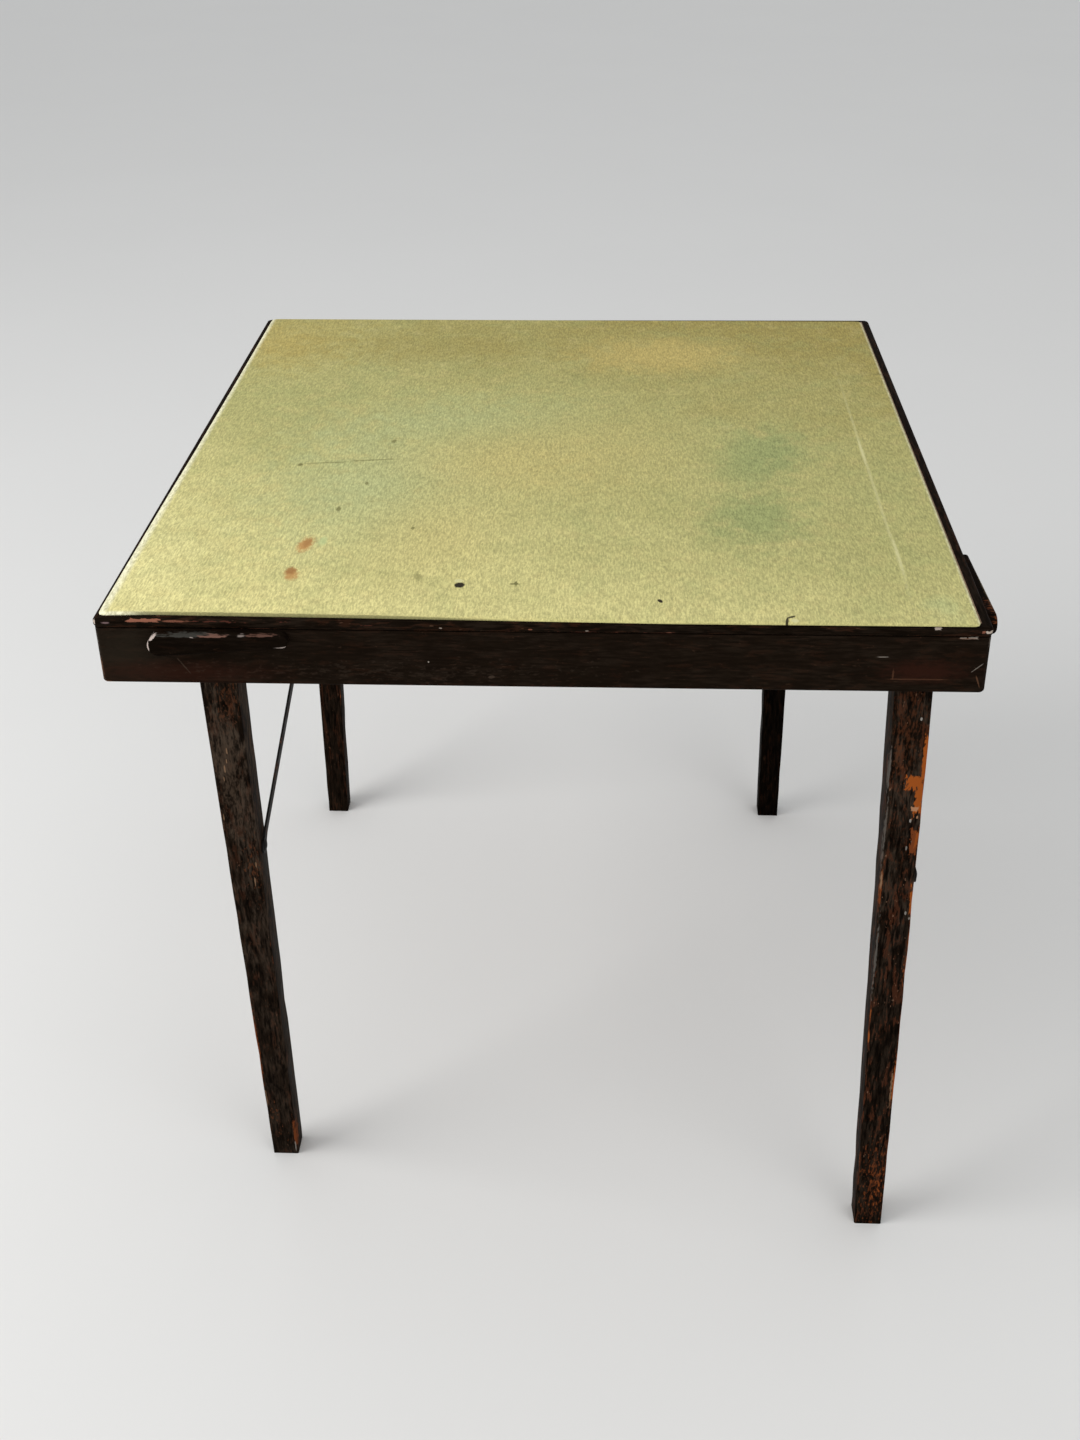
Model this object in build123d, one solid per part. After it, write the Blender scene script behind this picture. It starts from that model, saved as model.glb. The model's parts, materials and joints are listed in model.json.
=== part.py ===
from build123d import *
import math
import os

# A square folding card table. Millimetres, +Z up, origin on the floor under the centre of the top.
# The front is the -Y side. The front and the right side each carry a pull-out glass slide at the left end,
# seen from outside.

# Overall
table_width = 740.0
table_height = 700.0

# Playing top
baize_thickness = 2.8
baize_roll = 2.2
panel_thickness = 9.0
panel_gap = 0.3

# Bead round the top and aprons under it
bead_width = 8.5
bead_round = 3.4
bead_overhang = 0.8
apron_height = 53.0
apron_thickness = 18.0
frame_corner_radius = 4.0
apron_arris = 1.5
edge_tolerance = 0.01
facing_limit = 0.5
corner_block_size = 11.0
corner_block_height = 24.0

# Bearers from front to rear, and the batten that crosses them under the panel
bearer_thickness = 18.0
bearer_setback = 1.0
batten_width = 45.0
housing_depth = 3.0

# Legs: section at the pivot and at the foot
leg_width = 33.0
leg_depth = 30.0
foot_width = 27.0
foot_depth = 24.0
leg_arris = 1.2
foot_trim = 15.0
pivot_setback = 20.0
fold_clearance = 1.0
lane_clearance = 1.0
leg_gap = 5.5

# How far each leg stands off square, in degrees, inward positive
lean_angle = {
    "front_left": 3.8,
    "front_right": -2.2,
    "rear_left": 2.0,
    "rear_right": 1.5,
}

# How far each foot has drifted sideways from under its pivot, outward positive
foot_drift = {
    "front_left": 5.0,
    "front_right": 8.5,
    "rear_left": -6.0,
    "rear_right": 1.0,
}

# Hinge brackets and their rivets
bracket_sheet = 1.5
bracket_height = 26.0
bracket_nose_radius = 9.0
bracket_side_gap = 0.5
pivot_rivet_radius = 3.0
running_clearance = 0.1
seat_clearance = 0.05
rivet_head_radius = 5.5
rivet_head_height = 2.2

# Stays: flat straps from the legs to the slotted runners
stay_angle = 40.0
stay_standoff = 0.6
stay_thickness = 2.0
stay_width = 9.0
stay_eye_radius = 7.5
stay_neck_radius = 4.0
stay_flat = 14.0
stay_gap = 0.3
stay_pin_radius = 2.5
stay_pin_depth = 11.0
stay_pin_head_height = 1.4
outer_stay_room = 19.0
inner_stay_room = 37.0

# Slotted runners and the studs that travel in them
runner_sheet = 1.5
runner_height = 16.0
runner_standoff = 6.0
runner_rise_length = 9.0
runner_foot_length = 15.0
runner_end_margin = 9.0
runner_far_gap = 64.0
slot_clearance = 0.2
catch_clearance = 1.0
stud_radius = 2.6
stud_flange_radius = 4.6
stud_flange_thickness = 1.2
stud_gap = 0.25

# Glass slides, and how far each board starts from the corner at its left
slide_corner_gaps = {
    "front": 56.0,
    "right": 43.0,
}
slide_drop = 19.5
slide_travel = 100.0
slide_board_width = 100.0
slide_board_thickness = 8.0
slide_board_length = 137.0
slide_shoulder = 5.0
slide_shoulder_length = 15.0
slide_clearance = 0.3
slot_side_clearance = 0.5
pull_overhang = 8.5
pull_tall_end = 19.5
pull_low_end = 13.0
pull_deep_end = 12.0
pull_shallow_end = 8.0
pull_round = 2.4
pull_end_round = 6.0
pull_plan_margin = 2.0
pull_gap = 0.6
well_radius = 36.0
well_depth = 5.0
well_inset = 50.0
guide_wall = 12.0
guide_lip = 4.0
guide_engagement = 3.5
guide_length = 125.0

# Screws
screw_radius = 1.6
screw_head_radius = 3.4
screw_head_height = 1.8
screw_slot_width = 0.8
screw_slot_depth = 0.9
short_screw_length = 10.0
bracket_screw_spacing = 13.0
guide_screw_inset = 20.0
batten_screw_spacing = 240.0
panel_screw_bite = 5.0

# Levels, from the floor
top_z = table_height
frame_z = top_z - panel_thickness
apron_bottom_z = frame_z - apron_height
pivot_z = apron_bottom_z + fold_clearance + leg_depth / 2
lane_top_z = pivot_z + leg_depth / 2 + lane_clearance
slide_z = top_z - slide_drop
guide_bottom_z = slide_z - slide_board_thickness / 2 - slide_clearance - guide_lip

# Distances from the centre
bead_inner = table_width / 2 - bead_width
apron_outer = table_width / 2 - bead_overhang
apron_inner = apron_outer - apron_thickness
panel_half = bead_inner - panel_gap
pivot_y = apron_inner - pivot_setback
outer_lane = apron_inner - outer_stay_room - leg_width / 2
inner_lane = outer_lane - leg_width - leg_gap
bearer_face = inner_lane - leg_width / 2 - inner_stay_room

# The stay lies along its folded leg, and its runner ends short of the far apron. From that and its slope come
# its drop down the leg and its length. Then comes the stack from the runner's wall to the stay's eye.
runner_foot_reach = runner_rise_length + runner_foot_length
stud_folded = pivot_y + apron_inner - runner_far_gap - runner_foot_reach - runner_end_margin
stay_drop = stud_folded / (1 + 1 / math.sin(math.radians(stay_angle)))
stay_length = stud_folded - stay_drop
web_outer = runner_standoff + runner_sheet
flange_outer = web_outer + stud_gap + stud_flange_thickness
eye_wall_side = flange_outer + stay_gap

# Side 0 is the front and each next side is a quarter turn further, counterclockwise from above
side_names = ["front", "right", "rear", "left"]
slide_sides = [side_names.index(name) for name in slide_corner_gaps]

# Where each leg stands: x of its lane, room for its stay, turn about the centre in degrees. The rear legs are
# the front ones turned half round.
half_turn_angle = 180
stations = {
    "front_left": (-inner_lane, inner_stay_room, 0),
    "front_right": (outer_lane, outer_stay_room, 0),
    "rear_right": (-inner_lane, inner_stay_room, half_turn_angle),
    "rear_left": (outer_lane, outer_stay_room, half_turn_angle),
}


def on_side(shape, side):
    """Turn what is built for the front to one of the four sides."""
    return Rot(0, 0, 90 * side) * shape


def at_station(shape, corner):
    """Take what is built round a leg's pivot, folding towards +Y, to its place."""
    lane_x, _, turn = stations[corner]
    return Rot(0, 0, turn) * Pos(lane_x, -pivot_y, pivot_z) * shape


def box_between(low, high):
    """A box from its lowest to its highest corner."""
    size = [b - a for a, b in zip(low, high)]
    middle = [(a + b) / 2 for a, b in zip(low, high)]
    return Pos(*middle) * Box(*size)


def along_x(radius, start, end):
    """A round bar along X from start to end."""
    bar = Rot(0, 90, 0) * Cylinder(radius, end - start)
    return Pos((start + end) / 2, 0, 0) * bar


def dome(radius, height):
    """A domed head that stands on Z = 0."""
    ball_radius = (radius ** 2 + height ** 2) / (2 * height)
    ball = Pos(0, 0, height - ball_radius) * Sphere(ball_radius)
    return ball & Pos(0, 0, height / 2) * Cylinder(radius, height)


def round_screw(length):
    """A slotted round-head screw whose head stands on Z = 0 and whose shank runs down."""
    shank = Pos(0, 0, -length / 2) * Cylinder(screw_radius, length)
    slot = box_between(
        (-screw_head_radius, -screw_slot_width / 2, screw_head_height - screw_slot_depth),
        (screw_head_radius, screw_slot_width / 2, screw_head_height),
    )
    return dome(screw_head_radius, screw_head_height) + shank - slot


def flush_screw(length):
    """A slotted countersunk screw whose flat head ends at Z = 0 and whose shank runs down."""
    head = Pos(0, 0, -screw_head_height / 2) * Cone(screw_radius, screw_head_radius, screw_head_height)
    shank = Pos(0, 0, -length / 2) * Cylinder(screw_radius, length)
    slot = box_between(
        (-screw_head_radius, -screw_slot_width / 2, -screw_slot_depth),
        (screw_head_radius, screw_slot_width / 2, 0),
    )
    return head + shank - slot


def screw_hole(length):
    """The hole for a round-head screw."""
    return Pos(0, 0, -length / 2) * Cylinder(screw_radius + seat_clearance, length)


def flush_hole(length):
    """The countersunk hole for a flush screw."""
    low = screw_radius + seat_clearance
    high = screw_head_radius + seat_clearance
    return screw_hole(length) + Pos(0, 0, -screw_head_height / 2) * Cone(low, high, screw_head_height)


# The frame: mitred aprons under a mitred bead


def square_ring(outer_half, inner_half, base_z, height):
    """A square ring with rounded outer corners."""
    outline = RectangleRounded(2 * outer_half, 2 * outer_half, frame_corner_radius)
    ring = extrude(outline - Rectangle(2 * inner_half, 2 * inner_half), height)
    return Pos(0, 0, base_z) * ring


def front_quarter(ring):
    """The front piece of a ring, cut at its mitres."""
    reach = table_width
    corner_points = [(0, 0), (-reach, -reach), (reach, -reach)]
    wedge = extrude(make_face(Polyline(*corner_points, close=True)), table_height + reach)
    return ring & wedge


def outer_edges_at(ring, outer_half, level):
    """The edges round a ring's outside at one level."""
    flat = ring.edges().filter_by_position(Axis.Z, level - edge_tolerance, level + edge_tolerance)
    limit = outer_half - frame_corner_radius
    return [edge for edge in flat if max(abs(edge.center().X), abs(edge.center().Y)) > limit]


def slide_x(side):
    """How far a side's slide lies left of the side's middle."""
    return table_width / 2 - slide_corner_gaps[side_names[side]] - slide_board_width / 2


def front_slot(side):
    """The opening that a side's slide passes through, at the front."""
    half_width = slide_board_width / 2 + slot_side_clearance
    half_height = slide_board_thickness / 2 + slide_clearance
    cutter = box_between((-half_width, -table_width, -half_height), (half_width, 0, half_height))
    return Pos(-slide_x(side), 0, slide_z) * cutter


def bearer_blank(sign):
    """A plain bearer from front apron to rear apron, let into both."""
    low_x = min(sign * bearer_face, sign * (bearer_face - bearer_thickness))
    half_length = apron_inner + housing_depth
    low = (low_x, -half_length, apron_bottom_z + bearer_setback)
    return box_between(low, (low_x + bearer_thickness, half_length, lane_top_z))


def batten_blank():
    """The cross batten from side apron to side apron, resting on the bearers."""
    half_length = apron_inner + housing_depth
    low = (-half_length, -batten_width / 2, lane_top_z)
    return box_between(low, (half_length, batten_width / 2, frame_z))


def bracket_screw_places():
    """Places, round a leg's pivot, of the screws that hold a hinge bracket to its apron."""
    face_y = -pivot_setback + bracket_sheet
    levels = (-bracket_screw_spacing / 2, bracket_screw_spacing / 2)
    return [Pos(0, face_y, level) * Rot(-90, 0, 0) for level in levels]


def runner_ends(corner):
    """The first and last place of the stud's centre along the slot, behind the pivot."""
    return stay_places(corner)[3], stud_folded


def runner_screw_places(corner):
    """Places, round a leg's pivot, of the two screws that hold its runner to the wall."""
    start, end = runner_ends(corner)
    wall_x = leg_width / 2 + stations[corner][1]
    beyond = runner_end_margin + runner_rise_length + runner_foot_length / 2
    return [Pos(wall_x - runner_sheet, y, 0) * Rot(0, -90, 0) for y in (start - beyond, end + beyond)]


def frame_screw_holes(corner):
    """The holes that a leg's bracket and runner need in the wood."""
    places = bracket_screw_places() + runner_screw_places(corner)
    holes = [place * screw_hole(short_screw_length + seat_clearance) for place in places]
    return at_station(Compound(holes), corner)


def apron(side):
    """One mitred apron with its housings and screw holes, and a slot where it has a slide."""
    ring = square_ring(apron_outer, apron_inner, apron_bottom_z, apron_height)
    ring = fillet(outer_edges_at(ring, apron_outer, apron_bottom_z), apron_arris)
    piece = front_quarter(ring)
    if side in slide_sides:
        piece = piece - front_slot(side)
    piece = on_side(piece, side)
    if side_names[side] in ("front", "rear"):
        piece = piece - bearer_blank(1) - bearer_blank(-1)
    else:
        piece = piece - batten_blank()
    for corner in stations:
        piece = piece - frame_screw_holes(corner)
    return piece


def bead(side):
    """One mitred length of the rounded bead that frames the panel."""
    ring = square_ring(table_width / 2, bead_inner, frame_z, panel_thickness)
    half = table_width / 2
    ring = fillet(outer_edges_at(ring, half, top_z) + outer_edges_at(ring, half, frame_z), bead_round)
    return on_side(front_quarter(ring), side)


def corner_blocks():
    """Glue blocks in the four inner corners of the aprons."""
    points = [(0, 0), (corner_block_size, 0), (0, corner_block_size)]
    block = extrude(make_face(Polyline(*points, close=True)), corner_block_height)
    low_z = apron_bottom_z + bearer_setback
    placed = Pos(-apron_inner, -apron_inner, low_z) * block
    return Compound([on_side(placed, side) for side in range(4)])


def bearer(sign):
    """One bearer with the holes for the runner screwed to it."""
    piece = bearer_blank(sign)
    for corner in stations:
        piece = piece - frame_screw_holes(corner)
    return piece


def batten_screw_places():
    """Screws up through the batten into the panel."""
    rows = (-batten_screw_spacing, 0, batten_screw_spacing)
    return [Pos(x, 0, lane_top_z) * Rot(180, 0, 0) for x in rows]


batten_screw_length = frame_z - lane_top_z + panel_screw_bite


def batten():
    """The batten with its countersunk holes."""
    holes = [place * flush_hole(batten_screw_length) for place in batten_screw_places()]
    return batten_blank() - Compound(holes)


# The playing top: a panel inside the bead, under stretched baize


def panel():
    """The plywood panel, with the screws' holes in its underside."""
    slab = box_between((-panel_half, -panel_half, frame_z), (panel_half, panel_half, top_z))
    holes = [place * flush_hole(batten_screw_length) for place in batten_screw_places()]
    for side in slide_sides:
        places = guide_screw_places(side)
        holes += [on_side(place * flush_hole(guide_screw_length), side) for place in places]
    return slab - Compound(holes)


def baize():
    """The baize as a slab with a soft rolled edge."""
    cloth = box_between((-panel_half, -panel_half, top_z), (panel_half, panel_half, top_z + baize_thickness))
    return fillet(cloth.edges().group_by(Axis.Z)[-1], baize_roll)


# Legs


def leg_half_width(distance):
    """Half the leg's width at a distance below its pivot."""
    return leg_width / 2 - (leg_width - foot_width) / 2 * distance / pivot_z


def leg_middle(corner, distance):
    """X of the leg's middle line at a distance below its pivot."""
    outward = math.copysign(1, stations[corner][0])
    return outward * foot_drift[corner] * distance / pivot_z


def stay_side(corner):
    """X of the leg's face beside its stay, at the stay's pin."""
    return leg_middle(corner, stay_drop) + leg_half_width(stay_drop)


def stay_places(corner):
    """Pin y and z, rise in degrees, and stud y, all from the pivot, as the leg stands."""
    angle = math.radians(lean_angle[corner])
    pin_y = stay_drop * math.sin(angle)
    pin_z = -stay_drop * math.cos(angle)
    rise = math.asin(-pin_z / stay_length)
    stud_y = pin_y + stay_length * math.cos(rise)
    return pin_y, pin_z, math.degrees(rise), stud_y


def upright_leg(corner):
    """A tapered leg with a round head, upright under its pivot, longer than it needs to be."""
    reach = pivot_z + foot_trim
    head = Circle(leg_depth / 2).edges()
    sole = Line((-foot_depth / 2, -reach), (foot_depth / 2, -reach)).edges()
    side_view = make_hull(head + sole)
    crown = leg_depth / 2
    head_middle = leg_middle(corner, -crown)
    sole_middle = leg_middle(corner, reach)
    front_points = [
        (head_middle - leg_half_width(-crown), crown),
        (head_middle + leg_half_width(-crown), crown),
        (sole_middle + leg_half_width(reach), -reach),
        (sole_middle - leg_half_width(reach), -reach),
    ]
    front_view = make_face(Polyline(*front_points, close=True))
    leg = extrude(Plane.YZ * side_view, leg_width, both=True)
    leg = leg & extrude(Plane.XZ * front_view, leg_depth, both=True)
    arrises = leg.edges().filter_by(lambda edge: edge.length > reach / 2)
    leg = fillet(arrises, leg_arris)
    leg = leg - along_x(pivot_rivet_radius + running_clearance, -leg_width, leg_width)
    pin_hole = along_x(stay_pin_radius + seat_clearance, stay_side(corner) - stay_pin_depth, leg_width)
    return leg - Pos(0, 0, -stay_drop) * pin_hole


def leg(corner):
    """A leg as it stands, its foot cut flat on the floor."""
    standing = Rot(lean_angle[corner], 0, 0) * upright_leg(corner)
    ground = box_between((-leg_width, -pivot_z, -2 * pivot_z), (leg_width, pivot_z, -pivot_z))
    return at_station(standing - ground, corner)


def stay_pin(corner):
    """The pin that holds the stay to its leg: a shank in the wood and a domed head."""
    pin_y, pin_z, _, _ = stay_places(corner)
    side = stay_side(corner)
    head_seat = side + stay_standoff + stay_thickness + stay_gap
    shank = along_x(stay_pin_radius, side - stay_pin_depth, head_seat)
    head = Pos(head_seat, 0, 0) * Rot(0, 90, 0) * dome(rivet_head_radius, stay_pin_head_height)
    return at_station(Pos(0, pin_y, pin_z) * (shank + head), corner)


# Hinge brackets


def hinge_bracket(corner):
    """A U of sheet steel whose cheeks carry the leg's pivot."""
    inner = leg_width / 2 + bracket_side_gap
    outer = inner + bracket_sheet
    half_height = bracket_height / 2
    nose = Circle(bracket_nose_radius).edges()
    root = Line((-pivot_setback, -half_height), (-pivot_setback, half_height)).edges()
    cheek_view = Plane.YZ * make_hull(nose + root)
    block = extrude(cheek_view, outer, both=True)
    hollow = box_between((-inner, -pivot_setback + bracket_sheet, -leg_width), (inner, leg_width, leg_width))
    bracket = block - hollow - along_x(pivot_rivet_radius + seat_clearance, -2 * outer, 2 * outer)
    holes = [place * screw_hole(2 * bracket_sheet) for place in bracket_screw_places()]
    return at_station(bracket - Compound(holes), corner)


def pivot_rivets():
    """The rivets that the legs turn on, headed over both cheeks."""
    reach = leg_width / 2 + bracket_side_gap + bracket_sheet
    head = dome(rivet_head_radius, rivet_head_height)
    left = Pos(-reach, 0, 0) * Rot(0, -90, 0) * head
    right = Pos(reach, 0, 0) * Rot(0, 90, 0) * head
    rivet = along_x(pivot_rivet_radius, -reach, reach) + left + right
    return Compound([at_station(rivet, corner) for corner in stations])


# Stays, their runners and studs


def stay(corner):
    """A steel strap, cranked from the leg's side to the runner, with a round eye at each end."""
    pin_y, pin_z, rise, _ = stay_places(corner)
    wall_x = leg_width / 2 + stations[corner][1]
    low_x = stay_side(corner) + stay_standoff
    high_x = wall_x - eye_wall_side - stay_thickness
    near = -stay_eye_radius
    far = stay_length + stay_eye_radius
    bend = stay_length - stay_flat
    edge_points = [(low_x, near), (low_x, stay_flat), (high_x, bend), (high_x, far)]
    back_points = [(x + stay_thickness, y) for x, y in reversed(edge_points)]
    strap = extrude(make_face(Polyline(*edge_points, *back_points, close=True)), stay_eye_radius, both=True)
    bar = Pos(stay_length / 2, 0) * Rectangle(stay_length, stay_width)
    outline = bar + Circle(stay_eye_radius) + Pos(stay_length, 0) * Circle(stay_eye_radius)
    outline = fillet(outline.vertices(), stay_neck_radius)
    outline = outline - Circle(stay_pin_radius + running_clearance)
    outline = outline - Pos(stay_length, 0) * Circle(stay_pin_radius + seat_clearance)
    strap = strap & extrude(Plane.YZ * outline, wall_x, both=True)
    return at_station(Pos(0, pin_y, pin_z) * Rot(rise, 0, 0) * strap, corner)


def stay_rivet(corner):
    """The rivet in the stay's upper eye, flush at the back and domed in front."""
    _, _, _, stud_y = stay_places(corner)
    eye_x = leg_width / 2 + stations[corner][1] - eye_wall_side
    front_x = eye_x - stay_thickness
    head = Pos(front_x, 0, 0) * Rot(0, -90, 0) * dome(stud_flange_radius, rivet_head_height)
    rivet = along_x(stay_pin_radius, front_x, eye_x) + head
    return at_station(Pos(0, stud_y, 0) * rivet, corner)


def stay_runner(corner):
    """A strip joggled off its wall, with the slot that the stud runs in and a round catch."""
    start, end = runner_ends(corner)
    wall_x = leg_width / 2 + stations[corner][1]
    web_start = start - runner_end_margin
    web_end = end + runner_end_margin
    edge_points = [
        (wall_x, web_start - runner_foot_reach),
        (wall_x, web_start - runner_rise_length),
        (wall_x - runner_standoff, web_start),
        (wall_x - runner_standoff, web_end),
        (wall_x, web_end + runner_rise_length),
        (wall_x, web_end + runner_foot_reach),
    ]
    back_points = [(x - runner_sheet, y) for x, y in reversed(edge_points)]
    section = make_face(Polyline(*edge_points, *back_points, close=True))
    strip = extrude(section, runner_height / 2, both=True)
    slot_radius = stud_radius + slot_clearance
    slot = Pos((start + end) / 2, 0) * SlotCenterToCenter(end - start, 2 * slot_radius)
    catch = Pos(start, 0) * Circle(stud_radius + catch_clearance)
    strip = strip - extrude(Plane.YZ * (slot + catch), wall_x, both=True)
    holes = [place * screw_hole(2 * runner_sheet) for place in runner_screw_places(corner)]
    return at_station(strip - Compound(holes), corner)


def guide_stud(corner):
    """The flanged stud that travels in the runner's slot and carries the stay's upper end."""
    _, _, _, stud_y = stay_places(corner)
    wall_x = leg_width / 2 + stations[corner][1]
    front_high = wall_x - web_outer - stud_gap
    front_low = front_high - stud_flange_thickness
    back_low = wall_x - runner_standoff + stud_gap
    back_high = back_low + stud_flange_thickness
    stud = along_x(stud_flange_radius, front_low, front_high) + along_x(stud_radius, front_low, back_high)
    stud = stud + along_x(stud_flange_radius, back_low, back_high)
    return at_station(Pos(0, stud_y, 0) * stud, corner)


# Glass slides, built for the front round the middle of the slot at the apron's face


def slide_place(shape, side):
    """Take a slide piece to its side."""
    return on_side(Pos(-slide_x(side), -apron_outer, slide_z) * shape, side)


def slide_board(side):
    """The sliding board: a shouldered tail that stops it, and a round well for a glass."""
    half = slide_board_width / 2
    tail = half + slide_shoulder
    back = slide_board_length - pull_gap
    shoulder = back - slide_shoulder_length
    points = [
        (-half, -pull_gap),
        (half, -pull_gap),
        (half, shoulder),
        (tail, shoulder),
        (tail, back),
        (-tail, back),
        (-tail, shoulder),
        (-half, shoulder),
    ]
    board = extrude(make_face(Polyline(*points, close=True)), slide_board_thickness / 2, both=True)
    well_floor = slide_board_thickness / 2 - well_depth
    well = Pos(0, well_inset - pull_gap, well_floor + well_depth / 2) * Cylinder(well_radius, well_depth)
    return slide_place(board - well, side)


def slide_pull(side):
    """The rounded bar on the slide's end, deeper and taller at its end near the corner."""
    half = slide_board_width / 2 + pull_overhang
    tall_radius = pull_tall_end / 2
    low_radius = pull_low_end / 2
    tall_end = Pos(tall_radius - half, 0) * Circle(tall_radius)
    low_end = Pos(half - low_radius, tall_radius - low_radius) * Circle(low_radius)
    outline = make_hull(tall_end.edges() + low_end.edges())
    reach = half + pull_plan_margin
    shallow_y = -pull_gap - pull_shallow_end
    plan_points = [
        (-reach, 0),
        (reach, 0),
        (reach, shallow_y),
        (-reach, -pull_gap - pull_deep_end),
    ]
    plan = make_face(Polyline(*plan_points, close=True))
    far_corner = [vertex for vertex in plan.vertices() if abs(vertex.Y - shallow_y) < edge_tolerance]
    plan = fillet(far_corner, pull_end_round)
    bar = Pos(0, -pull_gap, 0) * extrude(Plane.XZ * outline, 2 * pull_deep_end)
    bar = bar & extrude(plan, pull_tall_end, both=True)
    fronts = bar.faces().filter_by(lambda face: face.normal_at().Y < -facing_limit)
    rim = ShapeList([edge for face in fronts for edge in face.edges()]).filter_by(Axis.Z, reverse=True)
    return slide_place(fillet(rim, pull_round), side)


def guide_section():
    """The grooved section of one guide, to the right of the slide's middle line."""
    mouth = slide_board_width / 2 - guide_engagement
    groove_end = slide_board_width / 2 + slide_shoulder + slot_side_clearance
    groove_half = slide_board_thickness / 2 + slide_clearance
    low = guide_bottom_z - slide_z
    high = frame_z - slide_z
    block = Pos((mouth + groove_end + guide_wall) / 2, (low + high) / 2)
    block = block * Rectangle(groove_end + guide_wall - mouth, high - low)
    groove = Pos((mouth + groove_end) / 2, 0) * Rectangle(groove_end - mouth, 2 * groove_half)
    return block - groove


def guide_screw_places(side):
    """Screws up through the walls of a side's guides into the panel, at the front."""
    out = slide_board_width / 2 + slide_shoulder + slot_side_clearance + guide_wall / 2
    rows = (-apron_inner + guide_screw_inset, -apron_inner + guide_length - guide_screw_inset)
    columns = (-slide_x(side) - out, -slide_x(side) + out)
    return [Pos(x, y, guide_bottom_z) * Rot(180, 0, 0) for x in columns for y in rows]


guide_screw_length = frame_z - guide_bottom_z + panel_screw_bite


def slide_guides(side):
    """The pair of grooved guides that carry a slide."""
    section = Plane.XZ * guide_section()
    right = Pos(0, apron_thickness + guide_length, 0) * extrude(section, guide_length)
    pair = Compound([right, mirror(right, Plane.YZ)])
    holes = Compound([place * flush_hole(guide_screw_length) for place in guide_screw_places(side)])
    drilled = [solid - holes for solid in (Pos(-slide_x(side), -apron_outer, slide_z) * pair).solids()]
    return on_side(Compound([piece.solid() for piece in drilled]), side)


# Fasteners that repeat


def plate_screws():
    """Round-head screws in the hinge brackets and the runners."""
    screws = []
    for corner in stations:
        places = bracket_screw_places() + runner_screw_places(corner)
        screws += [at_station(place * round_screw(short_screw_length), corner) for place in places]
    return Compound(screws)


def panel_screws():
    """Countersunk screws up through the guides and the batten into the panel."""
    screws = [place * flush_screw(batten_screw_length) for place in batten_screw_places()]
    for side in slide_sides:
        places = guide_screw_places(side)
        screws += [on_side(place * flush_screw(guide_screw_length), side) for place in places]
    return Compound(screws)


def all_nodes():
    """Every piece by name."""
    nodes = {}
    for side, name in enumerate(side_names):
        nodes[f"apron_{name}"] = apron(side)
        nodes[f"bead_{name}"] = bead(side)
    for side in slide_sides:
        name = side_names[side]
        nodes[f"slide_guides_{name}"] = slide_guides(side)
        nodes[f"slide_board_{name}"] = slide_board(side)
        nodes[f"slide_pull_{name}"] = slide_pull(side)
    nodes["corner_blocks"] = corner_blocks()
    nodes["bearer_left"] = bearer(-1)
    nodes["bearer_right"] = bearer(1)
    nodes["cross_batten"] = batten()
    nodes["top_panel"] = panel()
    nodes["baize_cover"] = baize()
    for corner in stations:
        nodes[f"leg_{corner}"] = leg(corner)
        nodes[f"stay_pin_{corner}"] = stay_pin(corner)
        nodes[f"hinge_bracket_{corner}"] = hinge_bracket(corner)
        nodes[f"stay_{corner}"] = stay(corner)
        nodes[f"stay_rivet_{corner}"] = stay_rivet(corner)
        nodes[f"stay_runner_{corner}"] = stay_runner(corner)
        nodes[f"guide_stud_{corner}"] = guide_stud(corner)
    nodes["pivot_rivets"] = pivot_rivets()
    nodes["plate_screws"] = plate_screws()
    nodes["panel_screws"] = panel_screws()
    return nodes


os.makedirs("parts", exist_ok=True)
for node_name, shape in all_nodes().items():
    export_step(shape, f"parts/{node_name}.step")
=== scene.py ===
import json
import math

import bmesh
import bpy
from bpy.props import FloatProperty, FloatVectorProperty, IntProperty, PointerProperty
from bpy.types import Operator, Panel, PropertyGroup
from mathutils import Matrix, Vector
from mathutils.noise import noise as soft_noise


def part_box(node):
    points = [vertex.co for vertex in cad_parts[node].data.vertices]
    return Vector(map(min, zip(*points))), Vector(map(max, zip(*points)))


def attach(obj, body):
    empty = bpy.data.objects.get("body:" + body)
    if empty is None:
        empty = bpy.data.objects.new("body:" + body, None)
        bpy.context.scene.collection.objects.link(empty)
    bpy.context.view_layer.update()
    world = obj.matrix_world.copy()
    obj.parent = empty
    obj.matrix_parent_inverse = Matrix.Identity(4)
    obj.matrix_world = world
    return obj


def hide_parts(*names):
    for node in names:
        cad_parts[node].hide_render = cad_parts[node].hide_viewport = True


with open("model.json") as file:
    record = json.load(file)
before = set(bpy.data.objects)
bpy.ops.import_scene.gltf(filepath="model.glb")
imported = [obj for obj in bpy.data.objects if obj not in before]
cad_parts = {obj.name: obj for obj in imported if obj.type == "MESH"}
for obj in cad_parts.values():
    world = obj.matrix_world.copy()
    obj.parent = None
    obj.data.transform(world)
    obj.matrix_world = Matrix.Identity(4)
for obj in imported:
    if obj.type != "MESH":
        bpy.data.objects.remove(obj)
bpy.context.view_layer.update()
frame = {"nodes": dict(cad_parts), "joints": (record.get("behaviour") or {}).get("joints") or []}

bl_info = {
    "name": "Folding Card Table",
    "version": (1, 0, 0),
    "blender": (4, 5, 0),
    "location": "3D View > Sidebar > Card Table",
    "description": "Dresses the folding card table: worn ebonised wood, faded baize and black steel",
    "category": "Add Mesh",
}

SIDES = ("front", "right", "rear", "left")
SLIDE_SIDES = ("front", "right")
CORNERS = ("front_left", "front_right", "rear_right", "rear_left")
MM = 0.001

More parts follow.
